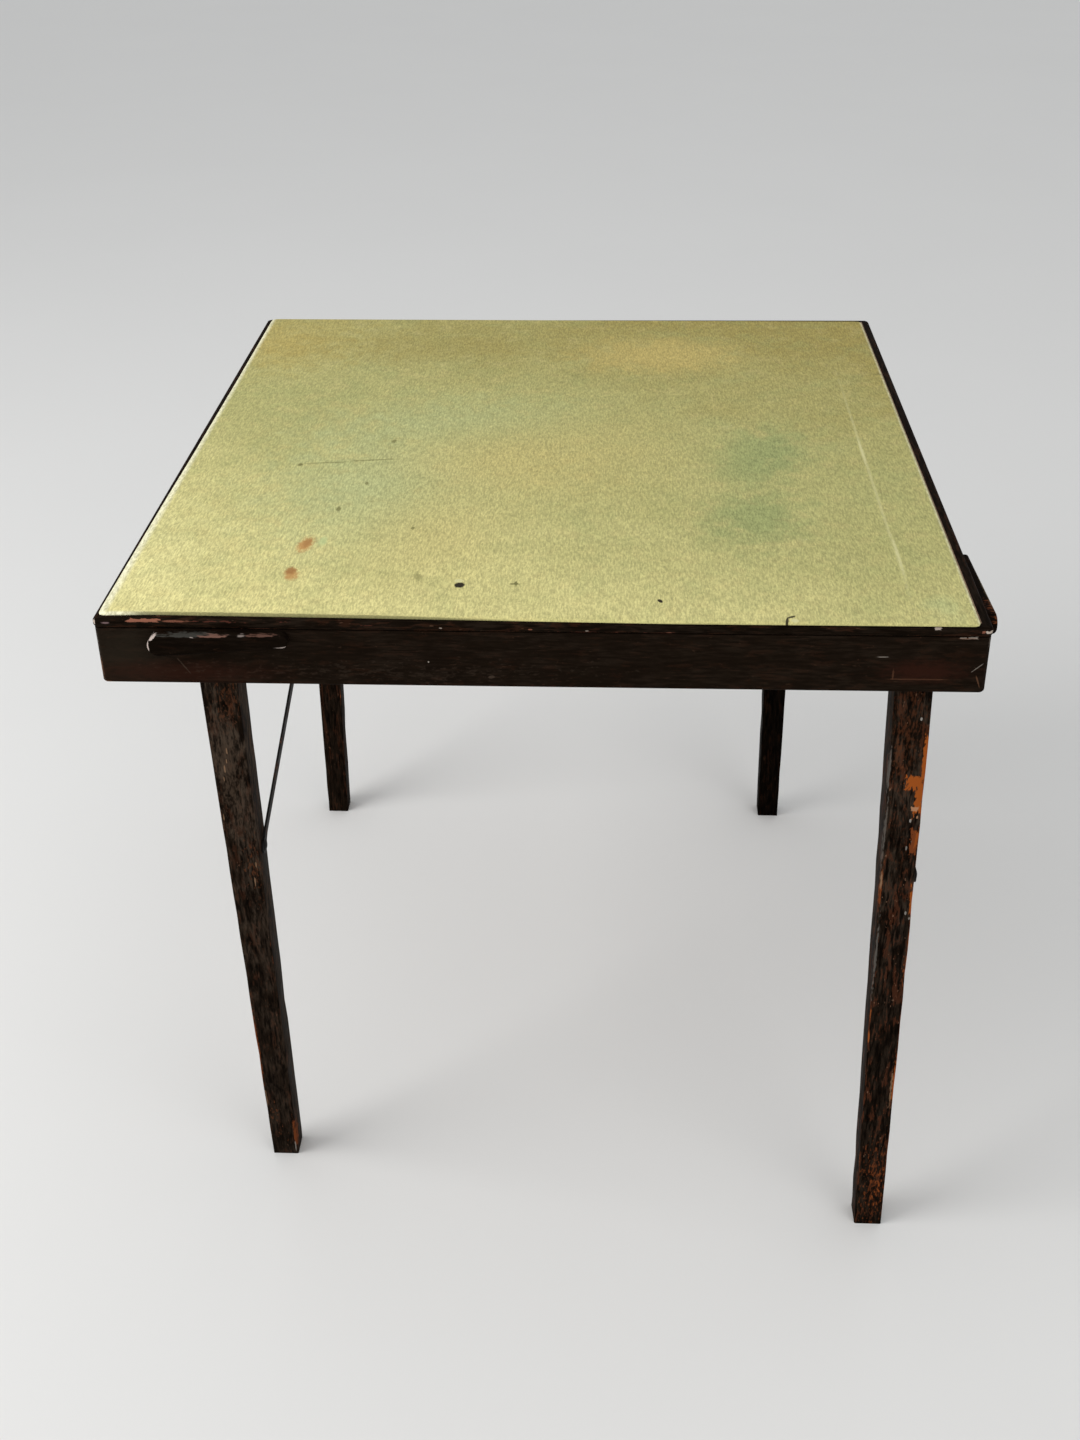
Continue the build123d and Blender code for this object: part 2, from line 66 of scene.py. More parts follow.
bead_low, bead_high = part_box("bead_front")
apron_low, apron_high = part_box("apron_front")
cloth_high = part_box("baize_cover")[1]
pivots = {joint["name"].replace("_leg_fold", ""): Vector(joint["pos_m"])
          for joint in frame["joints"] if joint["name"].endswith("_leg_fold")}


def a_length(name, description, millimetres):
    """A setting that is a length."""
    return FloatProperty(name=name, description=description, default=millimetres * MM, unit="LENGTH")


def a_colour(name, description, default):
    """A setting that is a colour."""
    return FloatVectorProperty(
        name=name, description=description, default=default, subtype="COLOR", min=0, max=1)


class CardTableSizes(PropertyGroup):
    """Sizes of the pieces that are modelled here"""

    corner_round: a_length("Frame corner", "Radius of the frame's outer corners", 4)
    bead_round: a_length("Bead rounding", "Radius along the bead's outer edges", 3.4)
    apron_arris: a_length("Apron arris", "Rounding along the apron's lower outer edge", 1.5)
    slot_gap: a_length("Slot gap", "Room round a glass slide where it passes the apron", 0.4)
    leg_width: a_length("Leg width", "Width of a leg at its pivot, along the table's front", 33)
    leg_depth: a_length("Leg depth", "Depth of a leg at its pivot", 30)
    foot_width: a_length("Foot width", "Width of a leg at the floor", 27)
    foot_depth: a_length("Foot depth", "Depth of a leg at the floor", 24)
    leg_arris: a_length("Leg arris", "Rounding along a leg's long edges", 1.2)
    cloth_roll: a_length("Cloth roll", "Radius of the baize where it turns down at its edge", 2.2)
    cloth_thickness: a_length("Cloth thickness", "Thickness of the baize alone", 0.9)
    cloth_squares: IntProperty(
        name="Cloth squares", description="Squares along each side of the baize before smoothing",
        default=80, min=20, max=120)


class CardTableColours(PropertyGroup):
    """Colours of the finishes"""

    paint: a_colour("Paint", "Black paint on the frame and legs", (0.0092, 0.0056, 0.0034))
    undercoat: a_colour("Rubbed paint", "Reddish brown where the paint is rubbed thin", (0.070, 0.022, 0.010))
    bare_wood: a_colour("Bare wood", "Wood that shows where the paint is gone", (0.27, 0.075, 0.018))
    flecks: a_colour("Flecks", "Small pinkish chips in the paint", (0.21, 0.115, 0.070))
    dust: a_colour("Dust", "Grey bloom on the old paint", (0.072, 0.051, 0.036))
    cloth: a_colour("Baize", "The faded baize in the middle of the top", (0.425, 0.400, 0.150))
    cloth_sunned: a_colour("Sunned baize", "The palest baize, near the front left corner", (0.70, 0.63, 0.27))
    cloth_brown: a_colour("Browned baize", "The browned baize along the rear", (0.335, 0.268, 0.072))
    cloth_green: a_colour("Green baize", "Patches that kept more of the old green", (0.300, 0.335, 0.125))
    hidden_wood: a_colour("Underside wood", "Bare stained wood under the top", (0.36, 0.22, 0.13))
    steel: a_colour("Black steel", "Blackened straps and brackets", (0.009, 0.008, 0.0075))
    screws: a_colour("Screws", "Dull steel screws", (0.42, 0.40, 0.37))
    floor: a_colour("Floor", "The pale studio floor", (0.80, 0.79, 0.77))


# Modelling by hand


def put_tools_down():
    """Leave edit mode and deselect everything."""
    if bpy.context.object and bpy.context.object.mode != "OBJECT":
        bpy.ops.object.mode_set(mode="OBJECT")
    bpy.ops.object.select_all(action="DESELECT")


def take_up(piece):
    """Make one piece the only one selected and the active one."""
    put_tools_down()
    piece.select_set(True)
    bpy.context.view_layer.objects.active = piece


def block(name, low, high):
    """A block between two corners, ready to be shaped."""
    put_tools_down()
    size = [b - a for a, b in zip(low, high)]
    middle = [(a + b) / 2 for a, b in zip(low, high)]
    bpy.ops.mesh.primitive_cube_add(size=1, location=middle, scale=size)
    piece = bpy.context.object
    piece.name = name
    piece.data.name = name
    bpy.ops.object.transform_apply(location=True, rotation=True, scale=True)
    return piece


def middle_of(element):
    """The middle of a vertex, edge or face."""
    if isinstance(element, bmesh.types.BMVert):
        return element.co.copy()
    if isinstance(element, bmesh.types.BMEdge):
        return (element.verts[0].co + element.verts[1].co) / 2
    return element.calc_center_median()


def pick(kind, test):
    """Select the verts, edges or faces that pass the test, in edit mode."""
    if bpy.context.object.mode != "EDIT":
        bpy.ops.object.mode_set(mode="EDIT")
    modes = {"verts": (True, False, False), "edges": (False, True, False), "faces": (False, False, True)}
    bpy.context.tool_settings.mesh_select_mode = modes[kind]
    bpy.ops.mesh.select_all(action="DESELECT")
    data = bpy.context.object.data
    shape = bmesh.from_edit_mesh(data)
    for element in getattr(shape, kind):
        if test(element):
            element.select_set(True)
    shape.select_flush_mode()
    bmesh.update_edit_mesh(data)


def pick_all():
    """Select the whole piece in edit mode."""
    pick("verts", lambda vert: True)


def saw(point, normal, drop_front=False, drop_back=False):
    """Cut the whole piece by a plane and close the cut where a side is dropped."""
    pick_all()
    bpy.ops.mesh.bisect(
        plane_co=point, plane_no=normal, use_fill=drop_front or drop_back,
        clear_outer=drop_front, clear_inner=drop_back)


def turn(angle, axis, centre):
    """Turn what is selected in edit mode, counterclockwise about the axis."""
    bpy.ops.transform.rotate(value=-angle, orient_axis=axis, center_override=centre)


def second_piece(piece, name):
    """A copy of a piece, with its own mesh."""
    take_up(piece)
    bpy.ops.object.duplicate()
    twin = bpy.context.object
    twin.name = name
    twin.data.name = name
    return twin


def apply_modifier(piece, kind, **settings):
    """Add a modifier with these settings to a piece and apply it."""
    take_up(piece)
    bpy.ops.object.modifier_add(type=kind)
    modifier = piece.modifiers[-1]
    for name, value in settings.items():
        setattr(modifier, name, value)
    bpy.ops.object.modifier_apply(modifier=modifier.name)


def note_section(piece, place):
    """Store where each vertex lies in the piece's section: -1 to 1 across, -1 to 1 deep, and metres along."""
    notes = piece.data.attributes.new("section", "FLOAT_VECTOR", "POINT")
    for vert, note in zip(piece.data.vertices, notes.data):
        note.vector = place(vert.co)


def fit(piece, body, slot_name, finish, *nodes):
    """Give a finished piece its material and tie it to its body."""
    take_up(piece)
    bpy.ops.object.shade_smooth_by_angle(angle=math.radians(35))
    piece.data.materials.clear()
    piece.data.materials.append(finish)
    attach(piece, body)
    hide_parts(*nodes)


# Nodes of the finishes


def start_finish(name, roughness, metallic=0.0):
    """A new material with its shader, and the tree it grows in."""
    material = bpy.data.materials.new(name)
    material.use_nodes = True
    tree = material.node_tree
    shader = tree.nodes["Principled BSDF"]
    shader.inputs["Roughness"].default_value = roughness
    shader.inputs["Metallic"].default_value = metallic
    return material, tree, shader


def maths(tree, operation, first, second=0.0, third=0.0):
    """The result of one Math node; each entry is a socket or a number."""
    node = tree.nodes.new("ShaderNodeMath")
    node.operation = operation
    for entry, value in zip(node.inputs, (first, second, third)):
        if isinstance(value, bpy.types.NodeSocket):
            tree.links.new(value, entry)
        else:
            entry.default_value = value
    return node.outputs[0]


def ramp(tree, value, low, high, to_low=0.0, to_high=1.0):
    """A value taken smoothly from one range to another and held at its ends."""
    node = tree.nodes.new("ShaderNodeMapRange")
    node.interpolation_type = "SMOOTHSTEP"
    tree.links.new(value, node.inputs["Value"])
    settings = (("From Min", low), ("From Max", high), ("To Min", to_low), ("To Max", to_high))
    for entry, number in settings:
        node.inputs[entry].default_value = number
    return node.outputs["Result"]


def object_place(tree):
    """The place on the object, in metres."""
    return tree.nodes.new("ShaderNodeTexCoord").outputs["Object"]


def laid(tree, place, centre=(0, 0, 0), angles=(0, 0, 0), size=(1, 1, 1)):
    """A place as seen from a centre that is turned and sized."""
    node = tree.nodes.new("ShaderNodeMapping")
    node.vector_type = "TEXTURE"
    node.inputs["Location"].default_value = centre
    node.inputs["Rotation"].default_value = angles
    node.inputs["Scale"].default_value = size
    tree.links.new(place, node.inputs["Vector"])
    return node.outputs[0]


def mottle(tree, place, feature, detail=3.0, distortion=0.0, roughness=0.55):
    """Soft noise whose features have this size in the place's units."""
    node = tree.nodes.new("ShaderNodeTexNoise")
    node.inputs["Scale"].default_value = 1 / feature
    node.inputs["Detail"].default_value = detail
    node.inputs["Roughness"].default_value = roughness
    node.inputs["Distortion"].default_value = distortion
    tree.links.new(place, node.inputs["Vector"])
    return node.outputs["Fac"]


def tint(tree, share, first, second, blend="MIX"):
    """One colour laid over another; each colour is a socket or three numbers."""
    node = tree.nodes.new("ShaderNodeMix")
    node.data_type = "RGBA"
    node.blend_type = blend
    node.clamp_factor = True
    if isinstance(share, bpy.types.NodeSocket):
        tree.links.new(share, node.inputs["Factor"])
    else:
        node.inputs["Factor"].default_value = share
    for entry, colour in ((node.inputs[6], first), (node.inputs[7], second)):
        if isinstance(colour, bpy.types.NodeSocket):
            tree.links.new(colour, entry)
        else:
            entry.default_value = (*colour, 1)
    return node.outputs[2]


def flecked(cover, soft=0.2):
    """The look of a mark that is broken into flecks: the lower its cover, the fewer."""
    return {"soft": soft, "ragged": 8.0, "cover": cover}


# Looks of marks: how soft and how ragged the edge is, and how much is covered
CHIP = {"ragged": 2.4, "square": True}
LINE = {"soft": 0.3, "ragged": 2.2}
RUBBED = {"soft": 0.3, "ragged": 2.4}
STREAK = {"soft": 0.3, "ragged": 3.0}
CLOUDY = {"soft": 0.8, "ragged": 1.8}
PATCHY = {"soft": 0.8, "ragged": 2.4}
HOLE = {"soft": 0.2, "ragged": 0.8}
BROKEN = flecked(-0.2)


def spot(tree, place, wobble, centre, size, angles=(0, 0, 0), soft=0.12, ragged=1.6, cover=1.0, square=False):
    """A blot, 1 inside and 0 outside, with a ragged edge; a low cover breaks it into flecks."""
    near = laid(tree, place, [v * MM for v in centre], angles, [v * MM for v in size])
    node = tree.nodes.new("ShaderNodeVectorMath")
    tree.links.new(near, node.inputs[0])
    if square:
        node.operation = "ABSOLUTE"
        sides = tree.nodes.new("ShaderNodeSeparateXYZ")
        tree.links.new(node.outputs["Vector"], sides.inputs[0])
        reach = maths(tree, "MAXIMUM", sides.outputs[0], sides.outputs[1])
        reach = maths(tree, "MAXIMUM", reach, sides.outputs[2])
    else:
        node.operation = "LENGTH"
        reach = node.outputs["Value"]
    shifted = maths(tree, "MULTIPLY_ADD", wobble, ragged, reach)
    limit = cover + ragged / 2
    return ramp(tree, shifted, limit - soft, limit + soft, 1.0, 0.0)


def lay_marks(tree, place, wobble, colour, marks):
    """Lay a list of marks over a colour; each is its colour, its share, its centre and size, and its look."""
    for mark_colour, share, centre, size, *look in marks:
        blot = spot(tree, place, wobble, centre, size, **(look[0] if look else {}))
        colour = tint(tree, maths(tree, "MULTIPLY", blot, share), colour, mark_colour)
    return colour


def raise_surface(tree, shader, height, depth, strength=1.0):
    """Bump of this depth in metres."""
    node = tree.nodes.new("ShaderNodeBump")
    node.inputs["Strength"].default_value = strength
    node.inputs["Distance"].default_value = depth
    tree.links.new(height, node.inputs["Height"])
    tree.links.new(node.outputs["Normal"], shader.inputs["Normal"])


def near_arris(tree, half_width, half_depth, reach, outer_only=False):
    """1 on the piece's long edges, or on its outer ones, falling to 0 at a reach away from them."""
    section = tree.nodes.new("ShaderNodeAttribute")
    section.attribute_name = "section"
    parts = tree.nodes.new("ShaderNodeSeparateXYZ")
    tree.links.new(section.outputs["Vector"], parts.inputs[0])
    if outer_only:
        out = maths(tree, "MULTIPLY", parts.outputs[0], -1.0)
    else:
        out = maths(tree, "ABSOLUTE", parts.outputs[0])
    across = maths(tree, "MULTIPLY_ADD", out, -half_width, half_width)
    deep = maths(tree, "MULTIPLY_ADD", maths(tree, "ABSOLUTE", parts.outputs[1]), -half_depth, half_depth)
    return ramp(tree, maths(tree, "ADD", across, deep), 0.0, reach, 1.0, 0.0)


def ebonised(name, colours, grain_along, edge=None, wear=0.5, bloom=0.3, marks=(), tone=1.0, streaky=1.0):
    """Old black paint over reddish wood: streaked, rubbed along its edges, flecked and a little dusty."""
    material, tree, shader = start_finish(name, 0.5)
    place = object_place(tree)

    def drawn(length, feature, *look):
        stretch = [1.0, 1.0, 1.0]
        stretch[grain_along] = length
        return mottle(tree, laid(tree, place, size=stretch), feature, *look)

    streaks = drawn(8.0, 2.4 * MM, 5.0, 0.15, 0.65)
    patches = drawn(3.2, 12 * MM, 6.0, 0.4, 0.66)
    rubs = drawn(3.4, 8 * MM, 5.0, 0.3, 0.68)
    flecks = drawn(3.0, 2.0 * MM, 3.0, 0.2, 0.6)
    # The paint darkened by its tone, which on the rear right leg is partly painted shade
    paint = [v * tone for v in colours.paint]
    shade = ramp(tree, streaks, 0.34, 0.66, 1 - 0.65 * streaky, 1 + 0.8 * streaky)
    colour = tint(tree, 1.0, paint, shade, "MULTIPLY")
    haze = maths(tree, "MULTIPLY", ramp(tree, patches, 0.40, 0.60), ramp(tree, streaks, 0.38, 0.60, 0.1, 1.0))
    if grain_along == 2:
        parts = tree.nodes.new("ShaderNodeSeparateXYZ")
        tree.links.new(place, parts.inputs[0])
        haze = maths(tree, "MULTIPLY", haze, ramp(tree, parts.outputs[2], 0.15, 0.62, 0.3, 1.0))
    colour = tint(tree, maths(tree, "MULTIPLY", haze, bloom), colour, colours.dust)
    rubbed = ramp(tree, maths(tree, "MULTIPLY_ADD", streaks, 0.7, rubs), 0.90, 0.97)
    colour = tint(tree, maths(tree, "MULTIPLY", rubbed, wear), colour, colours.undercoat)
    chips = ramp(tree, maths(tree, "MULTIPLY_ADD", rubs, 0.5, flecks), 0.95, 0.98)
    colour = tint(tree, maths(tree, "MULTIPLY", chips, wear), colour, colours.flecks)
    if edge:
        lengths = mottle(tree, place, 42 * MM, 3.0)
        thin = maths(tree, "MULTIPLY_ADD", near_arris(tree, *edge), 0.5,
                     maths(tree, "MULTIPLY_ADD", streaks, 0.4, lengths))
        rubbed_from, bare_from = 1.34 - 0.3 * wear, 1.44 - 0.3 * wear
        colour = tint(tree, ramp(tree, thin, rubbed_from, rubbed_from + 0.03), colour, colours.undercoat)
        colour = tint(tree, ramp(tree, thin, bare_from, bare_from + 0.02), colour, colours.bare_wood)
    # The given marks: wear, and on the beads, the front right leg and the pulls also painted highlights
    colour = lay_marks(tree, place, flecks, colour, marks)
    tree.links.new(colour, shader.inputs["Base Color"])
    tree.links.new(ramp(tree, patches, 0.35, 0.70, 0.40, 0.62), shader.inputs["Roughness"])
    shader.inputs["Specular IOR Level"].default_value = 0.005
    relief = maths(tree, "MULTIPLY_ADD", flecks, 0.6, maths(tree, "MULTIPLY", streaks, 0.8))
    raise_surface(tree, shader, relief, 0.35 * MM, 0.2 + 0.4 * wear)
    return material


def bare_wood(name, colours, grain_along):
    """Stained softwood under the top, with its grain along one direction."""
    material, tree, shader = start_finish(name, 0.72)
    place = object_place(tree)
    stretch = [1.0, 1.0, 1.0]
    stretch[grain_along] = 14.0
    along = laid(tree, place, size=stretch)
    rings = mottle(tree, along, 9 * MM, 2.0, 1.4)
    fibre = mottle(tree, along, 0.9 * MM, 3.0)
    grime = mottle(tree, place, 45 * MM, 4.0)
    dark_rings, dark_fibre = ([v * share for v in colours.hidden_wood] for share in (0.66, 0.45))
    grime_brown = (0.10, 0.065, 0.04)
    colour = tint(tree, ramp(tree, rings, 0.40, 0.62), colours.hidden_wood, dark_rings)
    colour = tint(tree, ramp(tree, fibre, 0.45, 0.75, 0.0, 0.5), colour, dark_fibre)
    colour = tint(tree, ramp(tree, grime, 0.45, 0.72, 0.0, 0.55), colour, grime_brown)
    tree.links.new(colour, shader.inputs["Base Color"])
    raise_surface(tree, shader, fibre, 0.25 * MM, 0.5)
    return material


def black_steel(colours):
    """Blackened strap steel with a little rust."""
    material, tree, shader = start_finish("black_steel", 0.55, 0.0)
    place = object_place(tree)
    patches = mottle(tree, place, 14 * MM, 4.0, 0.3)
    flecks = mottle(tree, place, 1.6 * MM, 4.0, 0.0, 0.7)
    colour = tint(tree, ramp(tree, patches, 0.4, 0.7), colours.steel, [v * 2.0 for v in colours.steel])
    rust = ramp(tree, maths(tree, "MULTIPLY_ADD", flecks, 0.5, patches), 0.86, 0.96)
    rust_brown = (0.10, 0.038, 0.016)
    colour = tint(tree, maths(tree, "MULTIPLY", rust, 0.7), colour, rust_brown)
    tree.links.new(colour, shader.inputs["Base Color"])
    tree.links.new(ramp(tree, patches, 0.35, 0.7, 0.42, 0.65), shader.inputs["Roughness"])
    shader.inputs["Specular IOR Level"].default_value = 0.06
    raise_surface(tree, shader, flecks, 0.12 * MM, 0.5)
    return material


def screw_steel(colours):
    """Dull bright steel of the screws, darker in its hollows."""
    material, tree, shader = start_finish("screw_steel", 0.4, 0.85)
    place = object_place(tree)
    flecks = mottle(tree, place, 1.1 * MM, 3.0)
    colour = tint(tree, ramp(tree, flecks, 0.4, 0.7), colours.screws, [v * 0.4 for v in colours.screws])
    tree.links.new(colour, shader.inputs["Base Color"])
    tree.links.new(ramp(tree, flecks, 0.35, 0.7, 0.3, 0.55), shader.inputs["Roughness"])
    raise_surface(tree, shader, flecks, 0.08 * MM, 0.5)
    return material


def dress(finish, *names):
    """Give CAD nodes their finish."""
    for name in names:
        data = frame["nodes"][name].data
        data.materials.clear()
        data.materials.append(finish)


# The pieces


class CARD_TABLE_OT_beads(Operator):
    """Model the rounded bead round the top, mitred at its corners"""

    bl_idname = "card_table.beads"
    bl_label = "Beads"

    def execute(self, context):
        sizes = context.scene.card_table_sizes
        colours = context.scene.card_table_colours
        outer = -bead_low.y
        finishes = [ebonised(name, colours, grain, (4.2 * MM, 4.5 * MM, 4 * MM, True), 0.2, 0.1,
                             bead_marks(), 0.8, 0.5)
                    for grain, name in enumerate(("worn_bead_across", "worn_bead_deep"))]
        front = rail("bead_front_worn", bead_low, bead_high, sizes.corner_round)
        edge_line = outer - sizes.corner_round - 0.1 * MM
        pick("edges", lambda edge: abs(edge.verts[0].co.z - edge.verts[1].co.z) < 1e-6
             and (middle_of(edge).y < -edge_line or abs(middle_of(edge).x) > edge_line))
        bpy.ops.mesh.bevel(offset=sizes.bead_round, segments=4, affect="EDGES")
        mitre_and_ring(31)
        finish_rail(front, bead_low, bead_high)
        for side, piece in enumerate(round_the_table(front, "bead")):
            fit(piece, "frame", "ebonised_wood", finishes[side % 2], f"bead_{SIDES[side]}")
        return {"FINISHED"}


class CARD_TABLE_OT_aprons(Operator):
    """Model the mitred aprons, each with the slot its glass slide passes through"""

    bl_idname = "card_table.aprons"
    bl_label = "Aprons"

    def execute(self, context):
        sizes = context.scene.card_table_sizes
        colours = context.scene.card_table_colours
        finishes = [ebonised(name, colours, grain, (9 * MM, 26.5 * MM, 3 * MM, True), 0.08, 0.08,
                             apron_marks(), 1.0, 0.25)
                    for grain, name in enumerate(("worn_apron_across", "worn_apron_deep"))]
        front = rail("apron_front_worn", apron_low, apron_high, sizes.corner_round)
        outer = -apron_low.y
        edge_line = outer - sizes.corner_round - 0.1 * MM
        pick("edges", lambda edge: max(vert.co.z for vert in edge.verts) < apron_low.z + 1e-5
             and (middle_of(edge).y < -edge_line or abs(middle_of(edge).x) > edge_line))
        bpy.ops.mesh.bevel(offset=sizes.apron_arris, segments=3, affect="EDGES")
        mitre_and_ring(23)
        finish_rail(front, apron_low, apron_high)
        for side, piece in enumerate(round_the_table(front, "apron")):
            if SIDES[side] in SLIDE_SIDES:
                self.cut_slot(piece, SIDES[side], sizes.slot_gap)
            fit(piece, "frame", "ebonised_wood", finishes[side % 2], f"apron_{SIDES[side]}")
        return {"FINISHED"}

    def cut_slot(self, piece, side, gap):
        """Cut the opening that a side's glass slide passes through."""
        low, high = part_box(f"slide_board_{side}")
        tail_shoulder = 5 * MM
        past_apron = 50 * MM
        trim = gap - tail_shoulder
        room = (trim, past_apron, gap) if side == "front" else (past_apron, trim, gap)
        cutter = block("slot_cutter", low - Vector(room), high + Vector(room))
        apply_modifier(piece, "BOOLEAN", operation="DIFFERENCE", object=cutter)
        bpy.data.objects.remove(cutter)


def rail(name, low, high, corner_round):
    """A square length along the front with the table's rounded outer corners."""
    piece = block(name, low, high)
    pick("edges", lambda edge: abs(edge.verts[0].co.z - edge.verts[1].co.z) > 1e-5
         and middle_of(edge).y < (low.y + high.y) / 2)
    bpy.ops.mesh.bevel(offset=corner_round, segments=6, affect="EDGES")
    return piece


def mitre_and_ring(count):
    """Cut a front rail's mitres and divide it along its length."""
    saw((0, 0, 0), (1, -1, 0), drop_back=True)
    saw((0, 0, 0), (1, 1, 0), drop_front=True)
    reach = -bead_low.y
    for step in range(1, count):
        saw(((2 * step / count - 1) * reach, 0, 0), (1, 0, 0))


def finish_rail(piece, low, high):
    """Note a front rail's section for its finish."""
    put_tools_down()
    middle = (low + high) / 2
    half = (high - low) / 2
    note_section(piece, lambda co: ((co.y - middle.y) / half.y, (co.z - middle.z) / half.z, co.x))


def round_the_table(front, kind):
    """The front rail and its three copies, each a quarter turn further."""
    pieces = [front]
    for side in (1, 2, 3):
        twin = second_piece(front, f"{kind}_{SIDES[side]}_worn")
        pick_all()
        turn(math.radians(90 * side), "Z", (0, 0, 0))
        put_tools_down()
        pieces.append(twin)
    return pieces


def bead_marks():
    """Worn places on the front and left beads and their corners, and painted highlights along the front
    bead's lower edge and the left bead's outer edge, in millimetres.
    """
    pink = (0.27, 0.105, 0.065)
    mauve = (0.20, 0.13, 0.13)
    red = (0.075, 0.024, 0.016)
    brown = (0.060, 0.034, 0.022)
    painted_highlight_grey = (0.15, 0.12, 0.105)
    pale = (0.56, 0.46, 0.38)
    return (
        # Painted highlight: the front bead's lower edge catching the light, drawn as a long brown line
        (brown, 0.70, (60, -370, 691.3), (330, 4, 0.7), LINE),
        (pink, 0.95, (-325, -370, 698.6), (13, 5, 1.0), CHIP),
        (pink, 0.60, (-300, -370, 698.4), (12, 5, 0.7), LINE),
        (red, 0.85, (-262, -370, 698.6), (42, 5, 1.2), BROKEN),
        (mauve, 0.85, (-358.7, -370, 696.6), (3.4, 4, 0.7), LINE),
        (red, 0.80, (-136, -370, 696.5), (13, 4, 0.7), BROKEN),
        (pink, 0.85, (-228, -370, 692.0), (12.5, 4, 0.6), LINE),
        (pale, 0.95, (-369.4, -369.4, 696.2), (2.2, 2.2, 2.0), CHIP),
        (pale, 0.85, (366.6, -370, 696.2), (3.0, 4, 1.1), CHIP),
        (pink, 0.80, (361.5, -370, 696.4), (1.2, 4, 1.0), CHIP),
        (pale, 0.50, (-79, -370, 695.0), (1.4, 4, 0.7)),
        (pink, 0.70, (-5.5, -370, 694.6), (1.8, 4, 0.7)),
        (pale, 0.40, (41, -370, 693.8), (1.4, 4, 0.6)),
        (pink, 0.60, (108, -370, 692.8), (2, 4, 0.6)),
        (red, 0.90, (60, -370, 692.5), (70, 4, 0.8), BROKEN),
        (pale, 0.70, (325, -369.5, 699.5), (2.6, 3.0, 1.6), CHIP),
        # Painted highlight: a pale line of reflected light along the left bead's outer rounding
        (painted_highlight_grey, 0.60, (-369.6, 0, 697.2), (1.5, 372, 1.6), {"soft": 0.4, "ragged": 2.4}),
        (brown, 0.80, (369.4, -60, 697.4), (1.2, 300, 1.4), {"soft": 0.4, "ragged": 2.4}),
    )


def apron_marks():
    """Chips and scratches of the front apron, in millimetres."""
    red = (0.030, 0.010, 0.006)
    brown = (0.13, 0.062, 0.034)
    dull = (0.05, 0.034, 0.024)
    pale = (0.36, 0.31, 0.26)
    return (
        ((0.022, 0.0165, 0.011), 0.60, (-345, -369, 665), (30, 5, 28), CLOUDY),
        (red, 0.60, (-300, -369, 649), (64, 5, 9), CLOUDY),
        (red, 0.90, (-40, -369, 638.5), (340, 6, 2.2), BROKEN),
        (dull, 0.25, (-120, -369, 652), (200, 5, 12), BROKEN),
        (pale, 0.85, (-90.6, -369, 661.8), (0.8, 3, 0.8)),
        (dull, 0.90, (-38.9, -369, 647.8), (2.6, 4, 1.2)),
        (pale, 0.60, (282, -369, 671.7), (5.4, 3, 0.4), LINE),
        (brown, 0.80, (317, -369, 650.6), (25, 3, 0.55), LINE),
        (brown, 0.70, (292.5, -369, 655.5), (0.7, 3, 4.5), LINE),
        (red, 0.80, (318, -369, 658), (28, 3, 9), CLOUDY),
        (pale, 0.45, (360.3, -369, 662.4), (6.0, 3, 0.45), {"angles": (0, math.radians(-43), 0)}),
        (brown, 0.65, (361.8, -369, 649.5), (0.6, 4, 6), {"angles": (0, math.radians(-19), 0)}),
        (dull, 0.70, (-297, -369, 655), (9.5, 3, 0.6), {"angles": (0, math.radians(57), 0)}),
        (pale, 0.80, (345.6, -369, 690.3), (2.6, 4, 0.6), CHIP),
        (pale, 0.85, (354.2, -369, 690.3), (3.6, 4, 0.7), CHIP),
        (brown, 0.70, (350, -369, 690.0), (9, 4, 0.5), LINE),
        (pale, 0.25, (368, -369, 686), (0.8, 4, 5), LINE),
        (brown, 0.85, (-364, -369, 639.0), (6, 5, 0.9), LINE),
        (brown, 0.90, (-368.4, -368.4, 652), (1.6, 2.4, 11), STREAK),
        (pale, 0.35, (-368.2, -368.6, 676), (0.9, 2.0, 13), LINE),
        (pale, 0.50, (-368.9, -368.9, 646), (1.0, 2, 4), LINE),
    )


